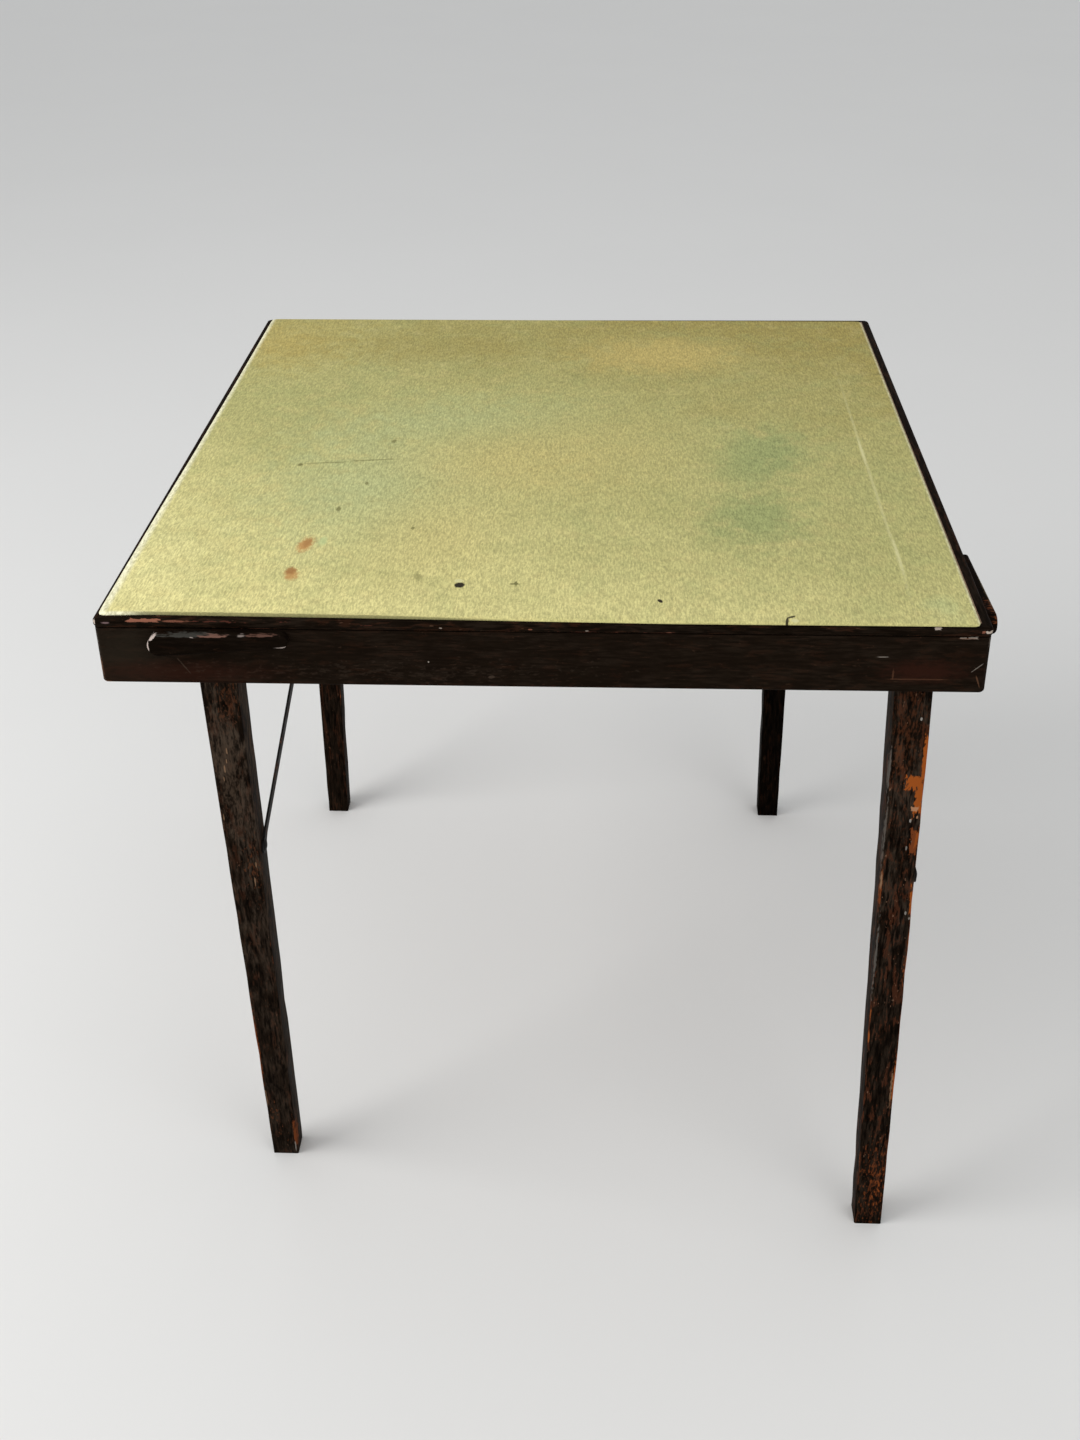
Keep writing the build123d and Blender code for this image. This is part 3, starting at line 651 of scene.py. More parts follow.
class CARD_TABLE_OT_legs(Operator):
    """Model the four tapered legs, each standing as it does on the old table"""

    bl_idname = "card_table.legs"
    bl_label = "Legs"

    lean = {"front_left": 3.8, "front_right": -2.2, "rear_left": 2.0, "rear_right": 1.5}
    drift = {"front_left": 5.0, "front_right": 8.5, "rear_left": -6.0, "rear_right": 1.0}
    # wear, bloom and how dark the paint is; the rear right leg's very dark paint and faint bloom are partly
    # painted shade, as that leg stands in shade under the table, and partly its blacker paint
    looks = {"front_left": (0.22, 0.90, 0.9), "front_right": (0.60, 0.60, 0.7),
             "rear_left": (0.25, 0.15, 0.8), "rear_right": (0.08, 0.03, 0.3)}
    foot_trim = 15 * MM
    rings = 24
    # the half round of the head, drawn up to just short of its crown
    head_steps = 8
    head_angle = 86
    # dents along the long edges: where the edges begin, how close and how deep the dents are
    edge_share = 0.88
    dents_per_metre = 37.0
    dent_depth = 1.1

    def execute(self, context):
        sizes = context.scene.card_table_sizes
        colours = context.scene.card_table_colours
        for corner in CORNERS:
            leg = self.shape(corner, sizes)
            finish = ebonised(f"worn_leg_{corner}", colours, 2, (15 * MM, 13.5 * MM, 3.5 * MM),
                              *self.looks[corner][:2], leg_marks(corner), self.looks[corner][2])
            fit(leg, f"leg_{corner}", "ebonised_wood", finish, f"leg_{corner}")
        return {"FINISHED"}

    def shape(self, corner, sizes):
        """One leg, from a square blank."""
        pivot = pivots[corner]
        reach = pivot.z + self.foot_trim
        half_width, half_depth = sizes.leg_width / 2, sizes.leg_depth / 2
        low = pivot - Vector((half_width, half_depth, reach))
        high = pivot + Vector((half_width, half_depth, 0))
        leg = block(f"leg_{corner}_worn", low, high)
        foot = Vector((pivot.x, pivot.y, low.z))
        pick("faces", lambda face: face.normal.z < -0.9)
        width = half_width - (half_width - sizes.foot_width / 2) * reach / pivot.z
        taper = (width / half_width, sizes.foot_depth / sizes.leg_depth, 1)
        bpy.ops.transform.resize(value=taper, center_override=foot)
        outward = math.copysign(self.drift[corner] * MM, pivot.x)
        bpy.ops.transform.translate(value=(outward * reach / pivot.z, 0, 0))
        self.round_head(pivot, half_depth)
        pick("edges", lambda edge: abs(edge.verts[0].co.z - edge.verts[1].co.z) > 1e-5
             and abs(abs(middle_of(edge).x - pivot.x) - half_width) < 14 * MM)
        bpy.ops.mesh.bevel(offset=sizes.leg_arris, segments=3, affect="EDGES")
        for ring in range(1, self.rings):
            saw((0, 0, pivot.z - reach * ring / self.rings), (0, 0, 1))
        put_tools_down()
        self.note(leg, pivot, outward, sizes)
        self.knock(leg, pivot, sizes.leg_arris)
        take_up(leg)
        pick_all()
        inward = math.copysign(1, -pivot.y)
        turn(math.radians(self.lean[corner]) * inward, "X", pivot)
        saw((0, 0, 0), (0, 0, 1), drop_back=True)
        put_tools_down()
        return leg

    def round_head(self, pivot, radius):
        """Draw the leg's top up into a half round about its pivot."""
        steps = self.head_steps
        angles = [math.radians(self.head_angle * step / steps) for step in range(steps + 1)]
        for before, after in zip(angles, angles[1:]):
            pick("faces", lambda face: face.normal.z > 0.9)
            rise = radius * (math.sin(after) - math.sin(before))
            bpy.ops.mesh.extrude_region_move(TRANSFORM_OT_translate={"value": (0, 0, rise)})
            bpy.ops.transform.resize(value=(1, math.cos(after) / math.cos(before), 1), center_override=pivot)

    def note(self, leg, pivot, outward, sizes):
        """Store each vertex's place in the leg's section."""
        def place(co):
            share = max(0.0, (pivot.z - co.z) / pivot.z)
            width = sizes.leg_width / 2 + (sizes.foot_width - sizes.leg_width) / 2 * share
            depth = sizes.leg_depth / 2 + (sizes.foot_depth - sizes.leg_depth) / 2 * share
            return ((co.x - pivot.x - outward * share) / width, (co.y - pivot.y) / depth, pivot.z - co.z)
        note_section(leg, place)

    def knock(self, leg, pivot, arris):
        """Take small dents out of the leg's long edges."""
        notes = leg.data.attributes["section"].data
        for vert, note in zip(leg.data.vertices, notes):
            on_edge = min(abs(note.vector.x), abs(note.vector.y)) > self.edge_share
            if on_edge and vert.co.z < pivot.z:
                bite = max(0.0, soft_noise(vert.co * self.dents_per_metre)) * self.dent_depth * arris
                vert.co.x -= math.copysign(bite, note.vector.x)
                vert.co.y -= math.copysign(bite, note.vector.y)


def leg_marks(corner):
    """Bare and rubbed places on a leg, and painted highlight lines along the front right leg's left arris, in
    millimetres.
    """
    orange = (0.32, 0.078, 0.014)
    dull_orange = (0.17, 0.045, 0.014)
    brown = (0.085, 0.030, 0.013)
    painted_highlight_grey = (0.13, 0.115, 0.10)
    fleck = (0.24, 0.14, 0.08)
    pinkish = (0.42, 0.21, 0.11)
    pale = (0.36, 0.33, 0.29)
    faded = (0.060, 0.040, 0.027)
    marks = {
        "front_right": (
            (brown, 0.50, (316, -347, 585), (19, 10, 62), flecked(0.0, 0.8)),
            (fleck, 0.35, (316, -347, 560), (19, 10, 80), flecked(-1.4)),
            (brown, 0.50, (318, -350, 470), (17, 10, 60), flecked(-0.7, 0.8)),
            (brown, 0.75, (308.5, -348, 560), (4.5, 6, 16), {"soft": 0.6, "ragged": 5.0, "cover": 0.6}),
            (orange, 1.00, (331.5, -348.5, 556), (1.9, 8, 22), CHIP),
            (orange, 1.00, (324.6, -349, 533), (7.2, 8, 6.6), CHIP),
            (orange, 1.00, (329.8, -349.5, 517), (3.3, 8, 16), CHIP),
            (pinkish, 0.90, (327, -349.9, 505.5), (2.8, 6, 2.0), CHIP),
            (pinkish, 0.75, (330, -350, 497), (1.0, 6, 1.6), CHIP),
            (dull_orange, 0.95, (329.4, -351, 470), (3.2, 7, 13), CHIP),
            (orange, 0.60, (331.5, -351, 474), (1.4, 7, 8), CHIP),
            (orange, 0.90, (333.6, -353, 405), (2.2, 7, 14), CHIP),
            (fleck, 0.80, (335, -353, 408), (1.0, 7, 10), CHIP),
            (dull_orange, 0.85, (304.4, -352, 420), (1.0, 6, 24), RUBBED),
            (fleck, 0.90, (304.2, -352.4, 428), (0.8, 6, 9), LINE),
            # Painted highlights: pale lines where the leg's left arris catches the light
            (painted_highlight_grey, 0.70, (301.9, -348.7, 546), (0.9, 6, 21), RUBBED),
            (painted_highlight_grey, 0.60, (303.2, -350.5, 480), (0.8, 6, 34), STREAK),
            (painted_highlight_grey, 0.65, (306, -355.5, 340), (0.9, 6, 40), STREAK),
            (pale, 0.85, (324.7, -347, 597.5), (1.1, 5, 1.7)),
            (pale, 0.75, (324.3, -350.3, 493), (0.8, 5, 1.8)),
            (pale, 0.50, (323.3, -351.3, 464), (0.8, 5, 2.2)),
            (pale, 0.60, (328.7, -353.6, 392), (1.0, 5, 2.0)),
            (pale, 0.50, (332.5, -353.6, 386), (0.9, 5, 1.6)),
            (dull_orange, 0.90, (333.5, -356, 322), (3.0, 8, 26), BROKEN),
            (orange, 0.85, (334.9, -360, 190), (1.2, 6, 30), STREAK),
            (fleck, 0.70, (333.0, -360, 182), (0.9, 6, 22), STREAK),
            (dull_orange, 0.70, (328, -364, 56), (15, 16, 66), {"soft": 0.6, "ragged": 7.0, "cover": 0.0}),
            (orange, 0.65, (330, -364, 44), (12, 16, 44), {"soft": 0.5, "ragged": 7.0, "cover": -0.6}),
            (pale, 0.45, (328, -364, 52), (13, 16, 50), flecked(-1.6)),
            (orange, 0.80, (338.8, -364, 55), (1.4, 14, 40), STREAK),
        ),
        "front_left": (
            (faded, 0.75, (-280, -338, 525), (12, 9, 75), {"soft": 0.8, "ragged": 6.0, "cover": 0.4}),
            (brown, 0.60, (-272, -342, 606), (14, 8, 34), flecked(0.0, 0.3)),
            (brown, 0.70, (-270, -328, 415), (12, 10, 46), flecked(-0.2, 0.3)),
            (brown, 0.50, (-276, -318, 250), (12, 12, 120), flecked(-1.0, 0.3)),
            (fleck, 0.75, (-279.4, -337.6, 547), (0.6, 5, 3.4)),
            (fleck, 0.75, (-281, -336.8, 536), (0.6, 5, 2.4)),
            (fleck, 0.75, (-283.6, -336, 527), (0.7, 5, 4)),
            (fleck, 0.60, (-285.6, -335, 516), (0.6, 5, 3)),
            (fleck, 0.70, (-271.5, -326.5, 392), (0.7, 5, 5)),
            (fleck, 0.60, (-268.3, -328, 413), (0.7, 5, 4)),
            (fleck, 0.60, (-291.5, -332, 470), (0.6, 5, 4)),
            (dull_orange, 0.75, (-294.6, -312, 170), (1.3, 8, 60), STREAK),
            (fleck, 0.50, (-294, -304, 88), (0.8, 6, 12), LINE),
            (brown, 0.90, (-288, -303, 68), (7, 8, 22), flecked(-0.2, 0.3)),
            (dull_orange, 0.80, (-269.6, -299, 34), (1.6, 8, 22), STREAK),
            (pale, 0.50, (-270.8, -299, 13), (0.7, 8, 7), LINE),
            (brown, 0.80, (-282, -300, 30), (14, 14, 34), flecked(-0.8, 0.3)),
        ),
    }
    scuffed_foot = (brown, 0.6, (0, 0, 10), (400, 400, 40), flecked(-0.8))
    return marks.get(corner, (scuffed_foot,))


class CARD_TABLE_OT_baize(Operator):
    """Stretch the baize over the panel and let it settle"""

    bl_idname = "card_table.baize"
    bl_label = "Baize"

    # how far each old edge lies from the middle, in millimetres, at shares of its side's length
    edges = {
        "left": ((0, -365.8), (0.1, -365.5), (0.3, -364.9), (0.45, -363.8), (0.7, -363.0), (1, -363.2)),
        "right": ((0, 359.7), (1, 359.9)),
        "front": ((0, -365.4), (0.06, -363.4), (0.3, -365.4), (0.5, -367.6), (0.66, -369.4), (1, -368.8)),
        "rear": ((0, 364.0), (1, 358.0)),
    }
    half_cloth = 362 * MM
    half_laid = 360 * MM
    padding_reach = 420 * MM
    settling_frames = 20

    def execute(self, context):
        sizes = context.scene.card_table_sizes
        cloth = self.lay_out(sizes)
        self.settle(cloth)
        self.turn_down(cloth, sizes)
        apply_modifier(cloth, "SOLIDIFY", thickness=sizes.cloth_thickness, offset=-1)
        apply_modifier(cloth, "SUBSURF", levels=1, render_levels=1)
        fit(cloth, "frame", "baize", baize_felt(context.scene.card_table_colours), "baize_cover")
        return {"FINISHED"}

    def edge_at(self, side, share):
        """How far the cloth reaches on a side, at a share of that side's length."""
        points = self.edges[side]
        for (from_share, start), (to_share, end) in zip(points, points[1:]):
            if share <= to_share:
                return start + (end - start) * (share - from_share) / (to_share - from_share)
        return points[-1][1]

    def outline(self, across, deep):
        """Where a point of the square cloth lies, from shares of its width and length, in metres."""
        left, right = self.edge_at("left", deep), self.edge_at("right", deep)
        front, rear = self.edge_at("front", across), self.edge_at("rear", across)
        return ((left + (right - left) * across) * MM, (front + (rear - front) * deep) * MM)

    def lay_out(self, sizes):
        """The flat cloth, cut to the outline that its old edges have now."""
        put_tools_down()
        count = sizes.cloth_squares
        bpy.ops.mesh.primitive_grid_add(
            x_subdivisions=count, y_subdivisions=count, size=1, location=(0, 0, 0))
        cloth = bpy.context.object
        cloth.name = "baize_faded"
        cloth.data.name = "baize_faded"
        for vert in cloth.data.vertices:
            across, deep = vert.co.x + 0.5, vert.co.y + 0.5
            x, y = self.outline(across, deep)
            shrink = 1 - sizes.cloth_roll / self.half_cloth
            vert.co = (x * shrink, y * shrink, cloth_high.z)
        return cloth

    def settle(self, cloth):
        """Let the cloth relax over its padding, held all round."""
        scene = bpy.context.scene
        reach, low, high = self.padding_reach, cloth_high.z - 6 * MM, cloth_high.z - 1.2 * MM
        padding = block("padding", (-reach, -reach, low), (reach, reach, high))
        take_up(padding)
        bpy.ops.object.modifier_add(type="COLLISION")
        padding.collision.thickness_outer = 0.3 * MM
        edge = cloth.vertex_groups.new(name="held")
        count = round(math.sqrt(len(cloth.data.vertices))) - 1
        held = [i for i in range(len(cloth.data.vertices))
                if i % (count + 1) in (0, count) or i // (count + 1) in (0, count)]
        edge.add(held, 1.0, "REPLACE")
        take_up(cloth)
        bpy.ops.object.modifier_add(type="CLOTH")
        cloth_modifier = cloth.modifiers[-1]
        settings = cloth_modifier.settings
        settings.quality = 6
        settings.mass = 0.3
        settings.tension_stiffness = 20
        settings.compression_stiffness = 20
        settings.bending_stiffness = 0.8
        settings.shrink_min = -0.0012
        settings.vertex_group_mass = "held"
        cloth_modifier.collision_settings.distance_min = 0.4 * MM
        cloth_modifier.collision_settings.use_self_collision = False
        for number in range(1, self.settling_frames + 1):
            scene.frame_set(number)
        bpy.ops.object.modifier_apply(modifier=cloth_modifier.name)
        scene.frame_set(1)
        bpy.data.objects.remove(padding)
        for vert in cloth.data.vertices:
            vert.co.z = min(cloth_high.z, max(cloth_high.z - 1.0 * MM, vert.co.z))

    def turn_down(self, cloth, sizes):
        """Roll the cloth's edge down over the rim of the panel."""
        take_up(cloth)
        steps = 4
        roll = sizes.cloth_roll
        pick("edges", lambda edge: edge.is_boundary)
        for step in range(1, steps + 1):
            before, after = (math.radians(90 * (step - i) / steps) for i in (1, 0))
            bpy.ops.mesh.extrude_region_move()
            out = 1 + roll * (math.sin(after) - math.sin(before)) / self.half_laid
            bpy.ops.transform.resize(value=(out, out, 1), center_override=(0, 0, cloth_high.z))
            bpy.ops.transform.translate(value=(0, 0, roll * (math.cos(after) - math.cos(before))))
        put_tools_down()


def baize_felt(colours):
    """Old baize: sunned to yellow, browned along the rear, worn and stained, with a painted highlight along
    its rolled edges and painted shade along its front edge.
    """
    material, tree, shader = start_finish("faded_baize", 0.95)
    place = object_place(tree)
    parts = tree.nodes.new("ShaderNodeSeparateXYZ")
    tree.links.new(place, parts.inputs[0])
    across, deep = parts.outputs[:2]
    warm, lint = (0.60, 0.49, 0.20), (0.78, 0.74, 0.40)
    rolled_edge_highlight, front_edge_shade_colour = (0.84, 0.80, 0.56), (0.09, 0.085, 0.035)
    clouds = mottle(tree, place, 120 * MM, 4.0, 0.5)
    blotches = mottle(tree, laid(tree, place, (0.4, 0.2, 0)), 30 * MM, 5.0, 0.4)
    warmth = mottle(tree, laid(tree, place, (0.9, 0.5, 0)), 20 * MM, 4.0, 0.3)
    nap = mottle(tree, laid(tree, place, size=(1, 4.5, 1)), 1.6 * MM, 4.0, 0.3, 0.70)
    fuzz = mottle(tree, laid(tree, place, (0.3, 0.7, 0), size=(1, 1.8, 1)), 2.2 * MM, 5.0, 0.4, 0.75)
    fade = maths(tree, "MULTIPLY_ADD", across, -0.45, maths(tree, "MULTIPLY_ADD", deep, -1.0, 0.5))
    fade = maths(tree, "MULTIPLY_ADD", clouds, 0.40, maths(tree, "ADD", fade, -0.20))
    colour = tint(tree, ramp(tree, fade, 0.0, 0.5), colours.cloth_brown, colours.cloth)
    colour = tint(tree, ramp(tree, fade, 0.5, 1.05), colour, colours.cloth_sunned)
    colour = tint(tree, ramp(tree, blotches, 0.46, 0.68, 0.0, 0.22), colour, colours.cloth_green)
    colour = tint(tree, ramp(tree, warmth, 0.50, 0.68, 0.0, 0.20), colour, warm)
    colour = lay_marks(tree, place, warmth, colour, cloth_stains(colours))
    # Painted highlight: the rolled edge of the cloth lit along the left side and near the front left corner,
    # fainter along the right, broken by the fuzz
    corner = ramp(tree, across, -0.30, -0.35, 0.0, 1.0)
    rolled = maths(tree, "MULTIPLY", ramp(tree, deep, -0.3590, -0.3640), corner)
    rim = maths(tree, "MAXIMUM", maths(tree, "MAXIMUM", rolled, ramp(tree, across, -0.3560, -0.3625)),
                ramp(tree, across, 0.3560, 0.3585, 0.0, 0.45))
    rim = maths(tree, "MULTIPLY", rim, ramp(tree, fuzz, 0.30, 0.55, 0.45, 1.0))
    colour = tint(tree, rim, colour, rolled_edge_highlight)
    colour = tint(tree, 1.0, colour, ramp(tree, nap, 0.32, 0.68, 0.76, 1.22), "MULTIPLY")
    colour = tint(tree, 1.0, colour, ramp(tree, fuzz, 0.32, 0.68, 0.87, 1.13), "MULTIPLY")
    colour = tint(tree, ramp(tree, fuzz, 0.64, 0.72, 0.0, 0.2), colour, lint)
    # Painted shade: the cloth's front edge darkened where it rolls down out of the light, with ragged teeth,
    # kept clear of the left end
    slant = ramp(tree, across, -0.322, 0.113)
    inside = maths(tree, "MULTIPLY_ADD", slant, 0.0058, maths(tree, "ADD", deep, 0.3636))
    teeth = maths(tree, "MULTIPLY", nap, ramp(tree, across, 0.05, -0.15, 1.5 * MM, 6.5 * MM))
    front_edge_shade_mask = ramp(tree, maths(tree, "SUBTRACT", inside, teeth), 0.0, -1.6 * MM, 0.0, 0.7)
    front_edge_shade_mask = maths(tree, "MULTIPLY", front_edge_shade_mask, ramp(tree, across, -0.350, -0.325))
    colour = tint(tree, front_edge_shade_mask, colour, front_edge_shade_colour)
    colour = lay_marks(tree, place, fuzz, colour, cloth_marks())
    tree.links.new(colour, shader.inputs["Base Color"])
    shader.inputs["Specular IOR Level"].default_value = 0.1
    shader.inputs["Sheen Weight"].default_value = 0.05
    shader.inputs["Sheen Roughness"].default_value = 0.6
    relief = maths(tree, "MULTIPLY_ADD", nap, 0.7, maths(tree, "MULTIPLY_ADD", fuzz, 0.5, blotches))
    raise_surface(tree, shader, relief, 0.7 * MM, 0.6)
    return material


def on_cloth(depth, marks):
    """Marks given in plan, laid on the baize's top and reaching this far up and down."""
    level = cloth_high.z / MM
    return tuple((colour, share, (*centre, level), (*size, depth), *look)
                 for colour, share, centre, size, *look in marks)


def cloth_stains(colours):
    """Broad stains of the baize, in millimetres."""
    green = tuple(colours.cloth_green)
    orange = (0.50, 0.39, 0.125)
    tan = (0.55, 0.45, 0.165)
    haze = (0.43, 0.46, 0.21)
    hazy = {"soft": 1.0, "ragged": 2.2, "cover": 0.8}
    return on_cloth(20, (
        (orange, 0.85, (112, 238), (80, 48), {"soft": 0.6, "ragged": 2.0}),
        (green, 0.85, (214, -24), (36, 44), PATCHY),
        (green, 0.80, (192, -66), (32, 34), PATCHY),
        (green, 0.85, (193, -181), (38, 46), PATCHY),
        (haze, 0.55, (-120, 40), (120, 60), {"angles": (0, 0, 0.2), **hazy}),
        (haze, 0.80, (-170, -120), (90, 110), hazy),
        (tan, 0.60, (-50, -60), (90, 70), hazy),
        (tan, 0.40, (60, -40), (90, 90), hazy),
        (tan, 0.50, (-100, -210), (60, 80), hazy),
        ((0.45, 0.35, 0.10), 0.85, (-335, 275), (90, 80), hazy),
        (colours.cloth_brown, 0.60, (-130, 270), (150, 50), hazy),
        ((0.47, 0.50, 0.22), 0.55, (335, -345), (16, 20), hazy),
        ((0.78, 0.72, 0.34), 0.35, (-345, -290), (50, 100), hazy),
    ))


def cloth_marks():
    """Small stains, creases and scuffs of the baize, and worn-through spots and a tear painted dark as the
    shade inside them, in millimetres.
    """
    rust = (0.50, 0.25, 0.075)
    burnt = (0.34, 0.16, 0.045)
    hole_shade = (0.020, 0.014, 0.004)
    smudge = (0.17, 0.16, 0.05)
    pale = (0.66, 0.62, 0.31)
    soft = {"soft": 0.45, "ragged": 2.0}
    scratchy = flecked(-0.4)
    return on_cloth(8, (
        (rust, 0.90, (-213.6, -239), (6.2, 13), {"angles": (0, 0, -0.10), **soft}),
        (burnt, 0.60, (-212.4, -235), (3.4, 8), {"angles": (0, 0, -0.10), **soft}),
        (rust, 0.85, (-216, -295), (5.6, 10), {"angles": (0, 0, 0.1), **soft}),
        (burnt, 0.90, (-217.5, -288), (4.6, 6), soft),
        ((0.46, 0.56, 0.25), 0.60, (-199, -232), (3.5, 8), soft),
        (pale, 0.80, (-70, -303.5), (4.0, 3.0)),
        # Painted shade: worn-through spots drawn as dark blots, not cut in the cloth
        (hole_shade, 1.00, (-68.6, -311), (4.5, 4.4), HOLE),
        (hole_shade, 1.00, (101.5, -335), (1.9, 3.2), {"angles": (0, 0, 0.4), **HOLE}),
        (smudge, 0.90, (-21.5, -308), (4.0, 1.6), RUBBED),
        (smudge, 0.90, (-20.5, -308), (1.3, 4.6), RUBBED),
        (smudge, 0.75, (-177, -110), (1.8, 3.4)),
        (smudge, 0.80, (-195.7, -166), (2.4, 5.0), soft),
        (smudge, 0.80, (-121, -205), (1.8, 2.8)),
        (smudge, 0.80, (-163, -10), (2.6, 4.4), soft),
        (smudge, 0.50, (-106.5, -297), (3.0, 8.0), {"angles": (0, 0, 0.2), **soft}),
        (smudge, 0.30, (-166, -150), (3.6, 2.0), soft),
        (smudge, 0.90, (-249.5, -68), (2.6, 3.0), soft),
        (smudge, 0.55, (-223, -63), (27, 1.4), {"angles": (0, 0, 0.11), **LINE}),
        (smudge, 0.60, (-178, -56), (24, 1.6), {"angles": (0, 0, 0.12), **LINE}),
        # Painted shade inside the tear, and a pale painted highlight on its torn edge
        (hole_shade, 0.95, (203.6, -366), (1.2, 5.6), {"angles": (0, 0, -0.15), "soft": 0.2, "ragged": 0.6}),
        (hole_shade, 0.90, (207.6, -359.4), (4.2, 1.4), {"angles": (0, 0, 0.5), "soft": 0.2, "ragged": 0.6}),
        (pale, 0.90, (210, -365), (3.0, 3.0), {"soft": 0.3, "ragged": 1.2}),
        (pale, 0.40, (309.4, -90), (1.4, 200), {"soft": 0.6, "ragged": 3.0}),
        (pale, 0.65, (308.8, -30), (1.4, 26), {"soft": 0.5, "ragged": 2.0}),
        (pale, 0.70, (310.8, -252), (1.4, 34), {"soft": 0.5, "ragged": 2.0}),
        (pale, 0.65, (180, 33), (16, 9), scratchy),
        (pale, 0.55, (193, 22), (5, 16), scratchy),
        (pale, 0.60, (232, 62), (9, 11), scratchy),
        (pale, 0.35, (262, 150), (10, 9), scratchy),
        (pale, 0.55, (230, -222), (9, 12), scratchy),
        (smudge, 0.60, (353, 182), (7, 1.1), {"angles": (0, 0, -0.1), "soft": 0.4, "ragged": 0.8}),
        (pale, 0.75, (284, -316), (16, 16), flecked(-0.9)),
        (smudge, 0.35, (250, -318), (50, 40), flecked(-1.8)),
        (pale, 0.40, (120, -300), (240, 60), flecked(-2.0)),
    ))


class CARD_TABLE_OT_pulls(Operator):
    """Finish the pulls on the ends of the glass slides"""

    bl_idname = "card_table.pulls"
    bl_label = "Pulls"

    def execute(self, context):
        colours = context.scene.card_table_colours
        finish = ebonised("worn_pull", colours, 0, None, 0.05, 0.05, pull_marks(), 0.6, 0.3)
        dress(finish, *(f"slide_pull_{side}" for side in SLIDE_SIDES))
        return {"FINISHED"}


def pull_marks():
    """Painted highlights along the pulls' rims and top edges, partly over rubbed paint, and a rubbed orange
    spot, in millimetres.
    """
    wear_and_highlight_cream = (0.55, 0.45, 0.40)
    pink = (0.17, 0.085, 0.062)
    painted_highlight_grey = (0.075, 0.072, 0.062)
    orange = (0.15, 0.045, 0.018)
    painted_highlight_olive = (0.12, 0.09, 0.045)
    return (
        # Painted highlights: a line along the top edge, a pale rim round the left end that is partly rubbed
        # paint, pink streaks along the top and the lit right end
        (painted_highlight_grey, 0.55, (-287, -379, 690.2), (24, 6, 0.7), STREAK),
        (wear_and_highlight_cream, 0.90, (-317.6, -380, 688.6), (3.2, 6, 0.8), {"angles": (0, math.radians(-35), 0), **STREAK}),
        (wear_and_highlight_cream, 0.90, (-321.5, -380, 682), (0.9, 6, 6.0), STREAK),
        (wear_and_highlight_cream, 0.85, (-317.8, -380, 671.4), (3.6, 6, 0.8), {"angles": (0, math.radians(25), 0), **STREAK}),
        (wear_and_highlight_cream, 0.60, (-318.4, -380, 676), (1.6, 6, 2.4), flecked(-0.8)),
        (wear_and_highlight_cream, 0.45, (-284, -381, 689.2), (3.0, 4, 0.5), BROKEN),
        (pink, 0.90, (-267, -380, 689.8), (10.5, 5, 0.7), STREAK),
        (wear_and_highlight_cream, 0.35, (-243.5, -379, 689.9), (3.2, 4, 0.5), STREAK),
        (pink, 0.60, (-226, -378, 690.0), (12, 4, 0.6), STREAK),
        (wear_and_highlight_cream, 0.60, (-210.5, -378, 679.2), (4.6, 4, 0.6), STREAK),
        (orange, 0.90, (381.5, -314, 685), (6, 16, 6), {"soft": 0.3, "ragged": 4.0}),
        # Painted highlight: a line where the right pull's upper outer edge catches the light
        (painted_highlight_olive, 0.70, (380, -265, 689.8), (2.0, 48, 1.4), STREAK),
    )


class CARD_TABLE_OT_hidden_wood(Operator):
    """Finish the bare wood under the top"""

    bl_idname = "card_table.hidden_wood"
    bl_label = "Underside wood"

    def execute(self, context):
        colours = context.scene.card_table_colours
        along_x = bare_wood("bare_wood_across", colours, 0)
        along_y = bare_wood("bare_wood_lengthwise", colours, 1)
        along_z = bare_wood("bare_wood_upright", colours, 2)
        dress(along_y, "bearer_left", "bearer_right", "slide_board_front", "slide_guides_front")
        dress(along_x, "cross_batten", "top_panel", "slide_board_right", "slide_guides_right")
        dress(along_z, "corner_blocks")
        return {"FINISHED"}


class CARD_TABLE_OT_steel(Operator):
    """Finish the steel: brackets, rivets, stays, studs, runners and screws"""

    bl_idname = "card_table.steel"
    bl_label = "Steel"

    def execute(self, context):
        colours = context.scene.card_table_colours
        black = black_steel(colours)
        for corner in CORNERS:
            dress(black, f"hinge_bracket_{corner}", f"stay_{corner}", f"stay_pin_{corner}",
                  f"stay_rivet_{corner}", f"stay_runner_{corner}", f"guide_stud_{corner}")
        dress(black, "pivot_rivets")
        dress(screw_steel(colours), "plate_screws", "panel_screws")
        return {"FINISHED"}


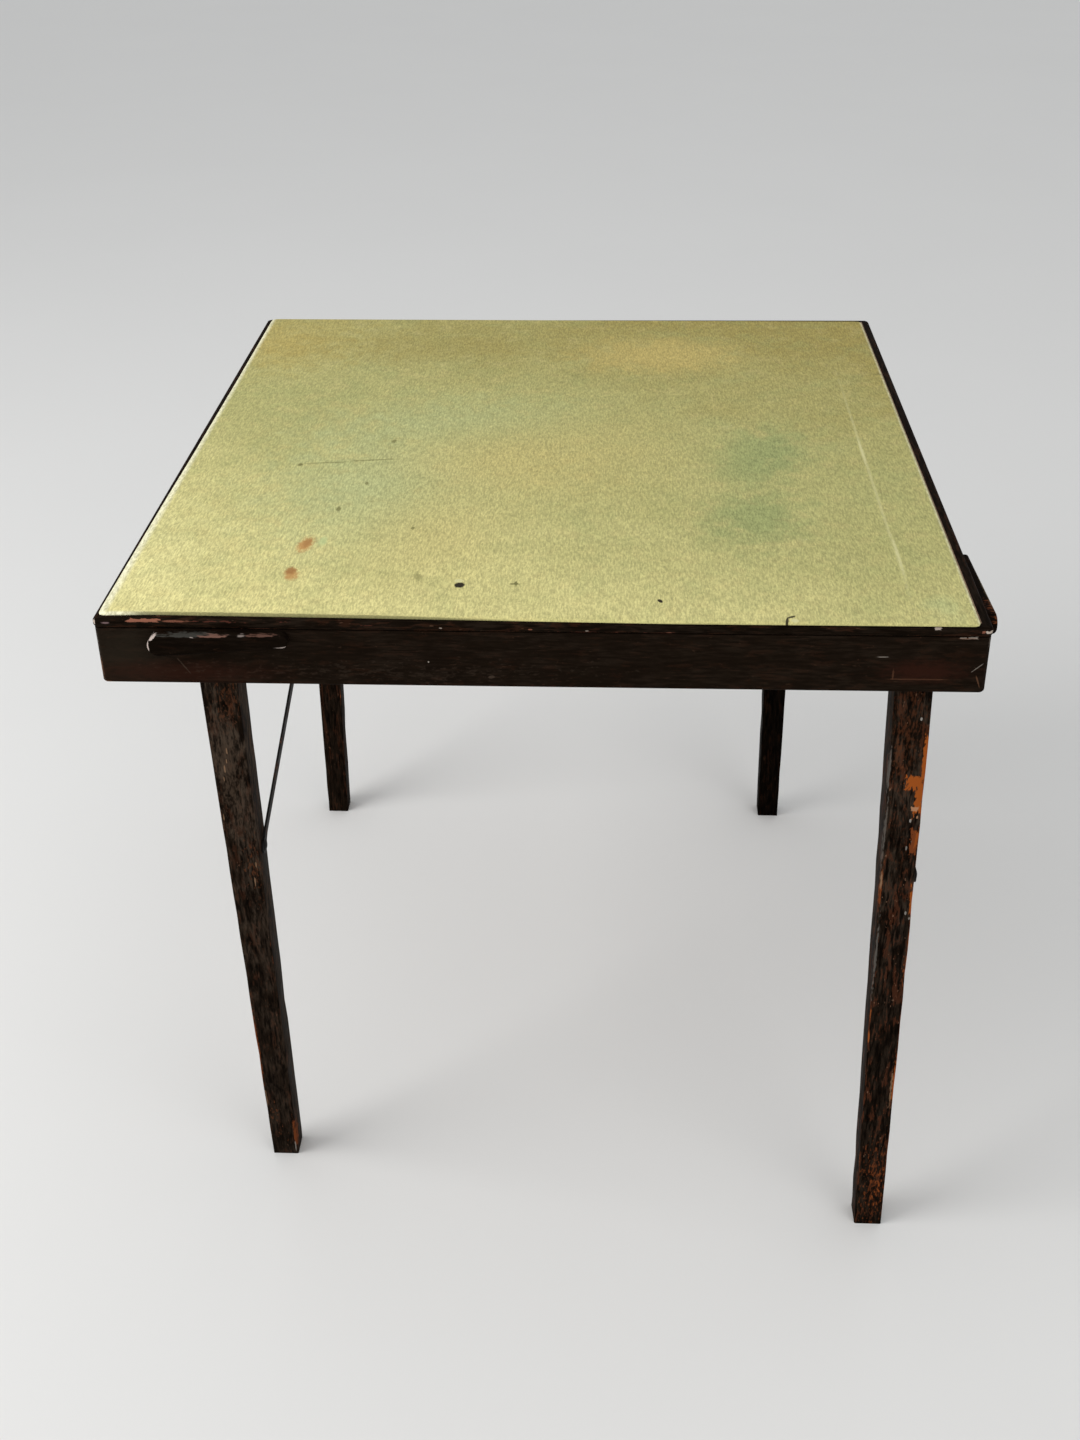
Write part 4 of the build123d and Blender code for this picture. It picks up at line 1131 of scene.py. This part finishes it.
class CARD_TABLE_OT_stage(Operator):
    """Set up the pale floor, soft lamps and the camera"""

    bl_idname = "card_table.stage"
    bl_label = "Stage"

    def execute(self, context):
        put_tools_down()
        bpy.ops.mesh.primitive_plane_add(size=24, location=(0, 3, 0))
        floor = context.object
        floor.name = "studio_floor"
        floor.data.materials.append(self.floor_paint(context.scene.card_table_colours))
        self.sky()
        self.lamp("window_lamp", (-2.6, -1.0, 2.5), 2.2, 62)
        self.lamp("fill_lamp", (2.2, -2.6, 2.2), 2.6, 20)
        self.camera()
        context.scene.view_settings.view_transform = "Standard"
        return {"FINISHED"}

    def floor_paint(self, colours):
        """The floor's pale, faintly clouded paint."""
        material, tree, shader = start_finish("pale_floor", 0.9)
        shade = mottle(tree, object_place(tree), 0.6, 3.0)
        pale = [v * 0.97 for v in colours.floor]
        tree.links.new(tint(tree, shade, colours.floor, pale), shader.inputs["Base Color"])
        return material

    def sky(self):
        """Even light from all round, with a pale background for the camera and for gloss."""
        world = bpy.context.scene.world or bpy.data.worlds.new("studio")
        bpy.context.scene.world = world
        world.use_nodes = True
        tree = world.node_tree
        shader = tree.nodes["Background"]
        rays = tree.nodes.new("ShaderNodeLightPath")
        seen = maths(tree, "MAXIMUM", rays.outputs["Is Camera Ray"], rays.outputs["Is Transmission Ray"])
        shader.inputs["Color"].default_value = (0.92, 0.94, 0.96, 1)
        tree.links.new(maths(tree, "MULTIPLY_ADD", seen, 0.25, 0.70), shader.inputs["Strength"])

    def lamp(self, name, place, size, power):
        """A round soft lamp that shines at the table."""
        data = bpy.data.lights.new(name, "AREA")
        data.shape = "DISK"
        data.size = size
        data.energy = power
        lamp = bpy.data.objects.new(name, data)
        bpy.context.scene.collection.objects.link(lamp)
        lamp.location = place
        aim = Vector((0, 0, 0.5)) - lamp.location
        lamp.rotation_euler = aim.to_track_quat("-Z", "Y").to_euler()

    def camera(self):
        """The camera, where the photographer stood."""
        data = bpy.data.cameras.new("photographer")
        data.sensor_width = 36
        data.lens = 39.43
        data.shift_y = -0.125
        camera = bpy.data.objects.new("photographer", data)
        bpy.context.scene.collection.objects.link(camera)
        pitch, yaw, roll = (math.radians(v) for v in (27.3823, -3.0698, 0.9464))
        ahead = Vector((math.sin(yaw) * math.cos(pitch), math.cos(yaw) * math.cos(pitch), -math.sin(pitch)))
        level = Vector((math.cos(yaw), -math.sin(yaw), 0))
        below = ahead.cross(level)
        right = math.cos(roll) * level + math.sin(roll) * below
        down = math.cos(roll) * below - math.sin(roll) * level
        turned = Matrix((right, -down, -ahead)).transposed()
        camera.rotation_euler = turned.to_euler()
        camera.location = (0.06348, -1.48085, 1.35347)
        bpy.context.scene.camera = camera


class CARD_TABLE_PT_panel(Panel):
    """The card table's steps, in order"""

    bl_label = "Card Table"
    bl_idname = "CARD_TABLE_PT_panel"
    bl_space_type = "VIEW_3D"
    bl_region_type = "UI"
    bl_category = "Card Table"

    def draw(self, context):
        for step in steps:
            self.layout.operator(step.bl_idname)
        for settings in (context.scene.card_table_sizes, context.scene.card_table_colours):
            box = self.layout.box()
            for name in settings.bl_rna.properties.keys():
                if name not in ("rna_type", "name"):
                    box.prop(settings, name)


steps = (
    CARD_TABLE_OT_baize,
    CARD_TABLE_OT_beads,
    CARD_TABLE_OT_aprons,
    CARD_TABLE_OT_legs,
    CARD_TABLE_OT_pulls,
    CARD_TABLE_OT_hidden_wood,
    CARD_TABLE_OT_steel,
    CARD_TABLE_OT_stage,
)
classes = (CardTableSizes, CardTableColours, *steps, CARD_TABLE_PT_panel)


def register():
    """Add the classes and the table's settings."""
    for each in classes:
        bpy.utils.register_class(each)
    bpy.types.Scene.card_table_sizes = PointerProperty(type=CardTableSizes)
    bpy.types.Scene.card_table_colours = PointerProperty(type=CardTableColours)


def unregister():
    """Take the settings and the classes away again."""
    del bpy.types.Scene.card_table_colours
    del bpy.types.Scene.card_table_sizes
    for each in reversed(classes):
        bpy.utils.unregister_class(each)


def main():
    """Dress the table step by step."""
    register()
    for step in steps:
        group, name = step.bl_idname.split(".")
        getattr(getattr(bpy.ops, group), name)()


if __name__ == "__main__":
    main()
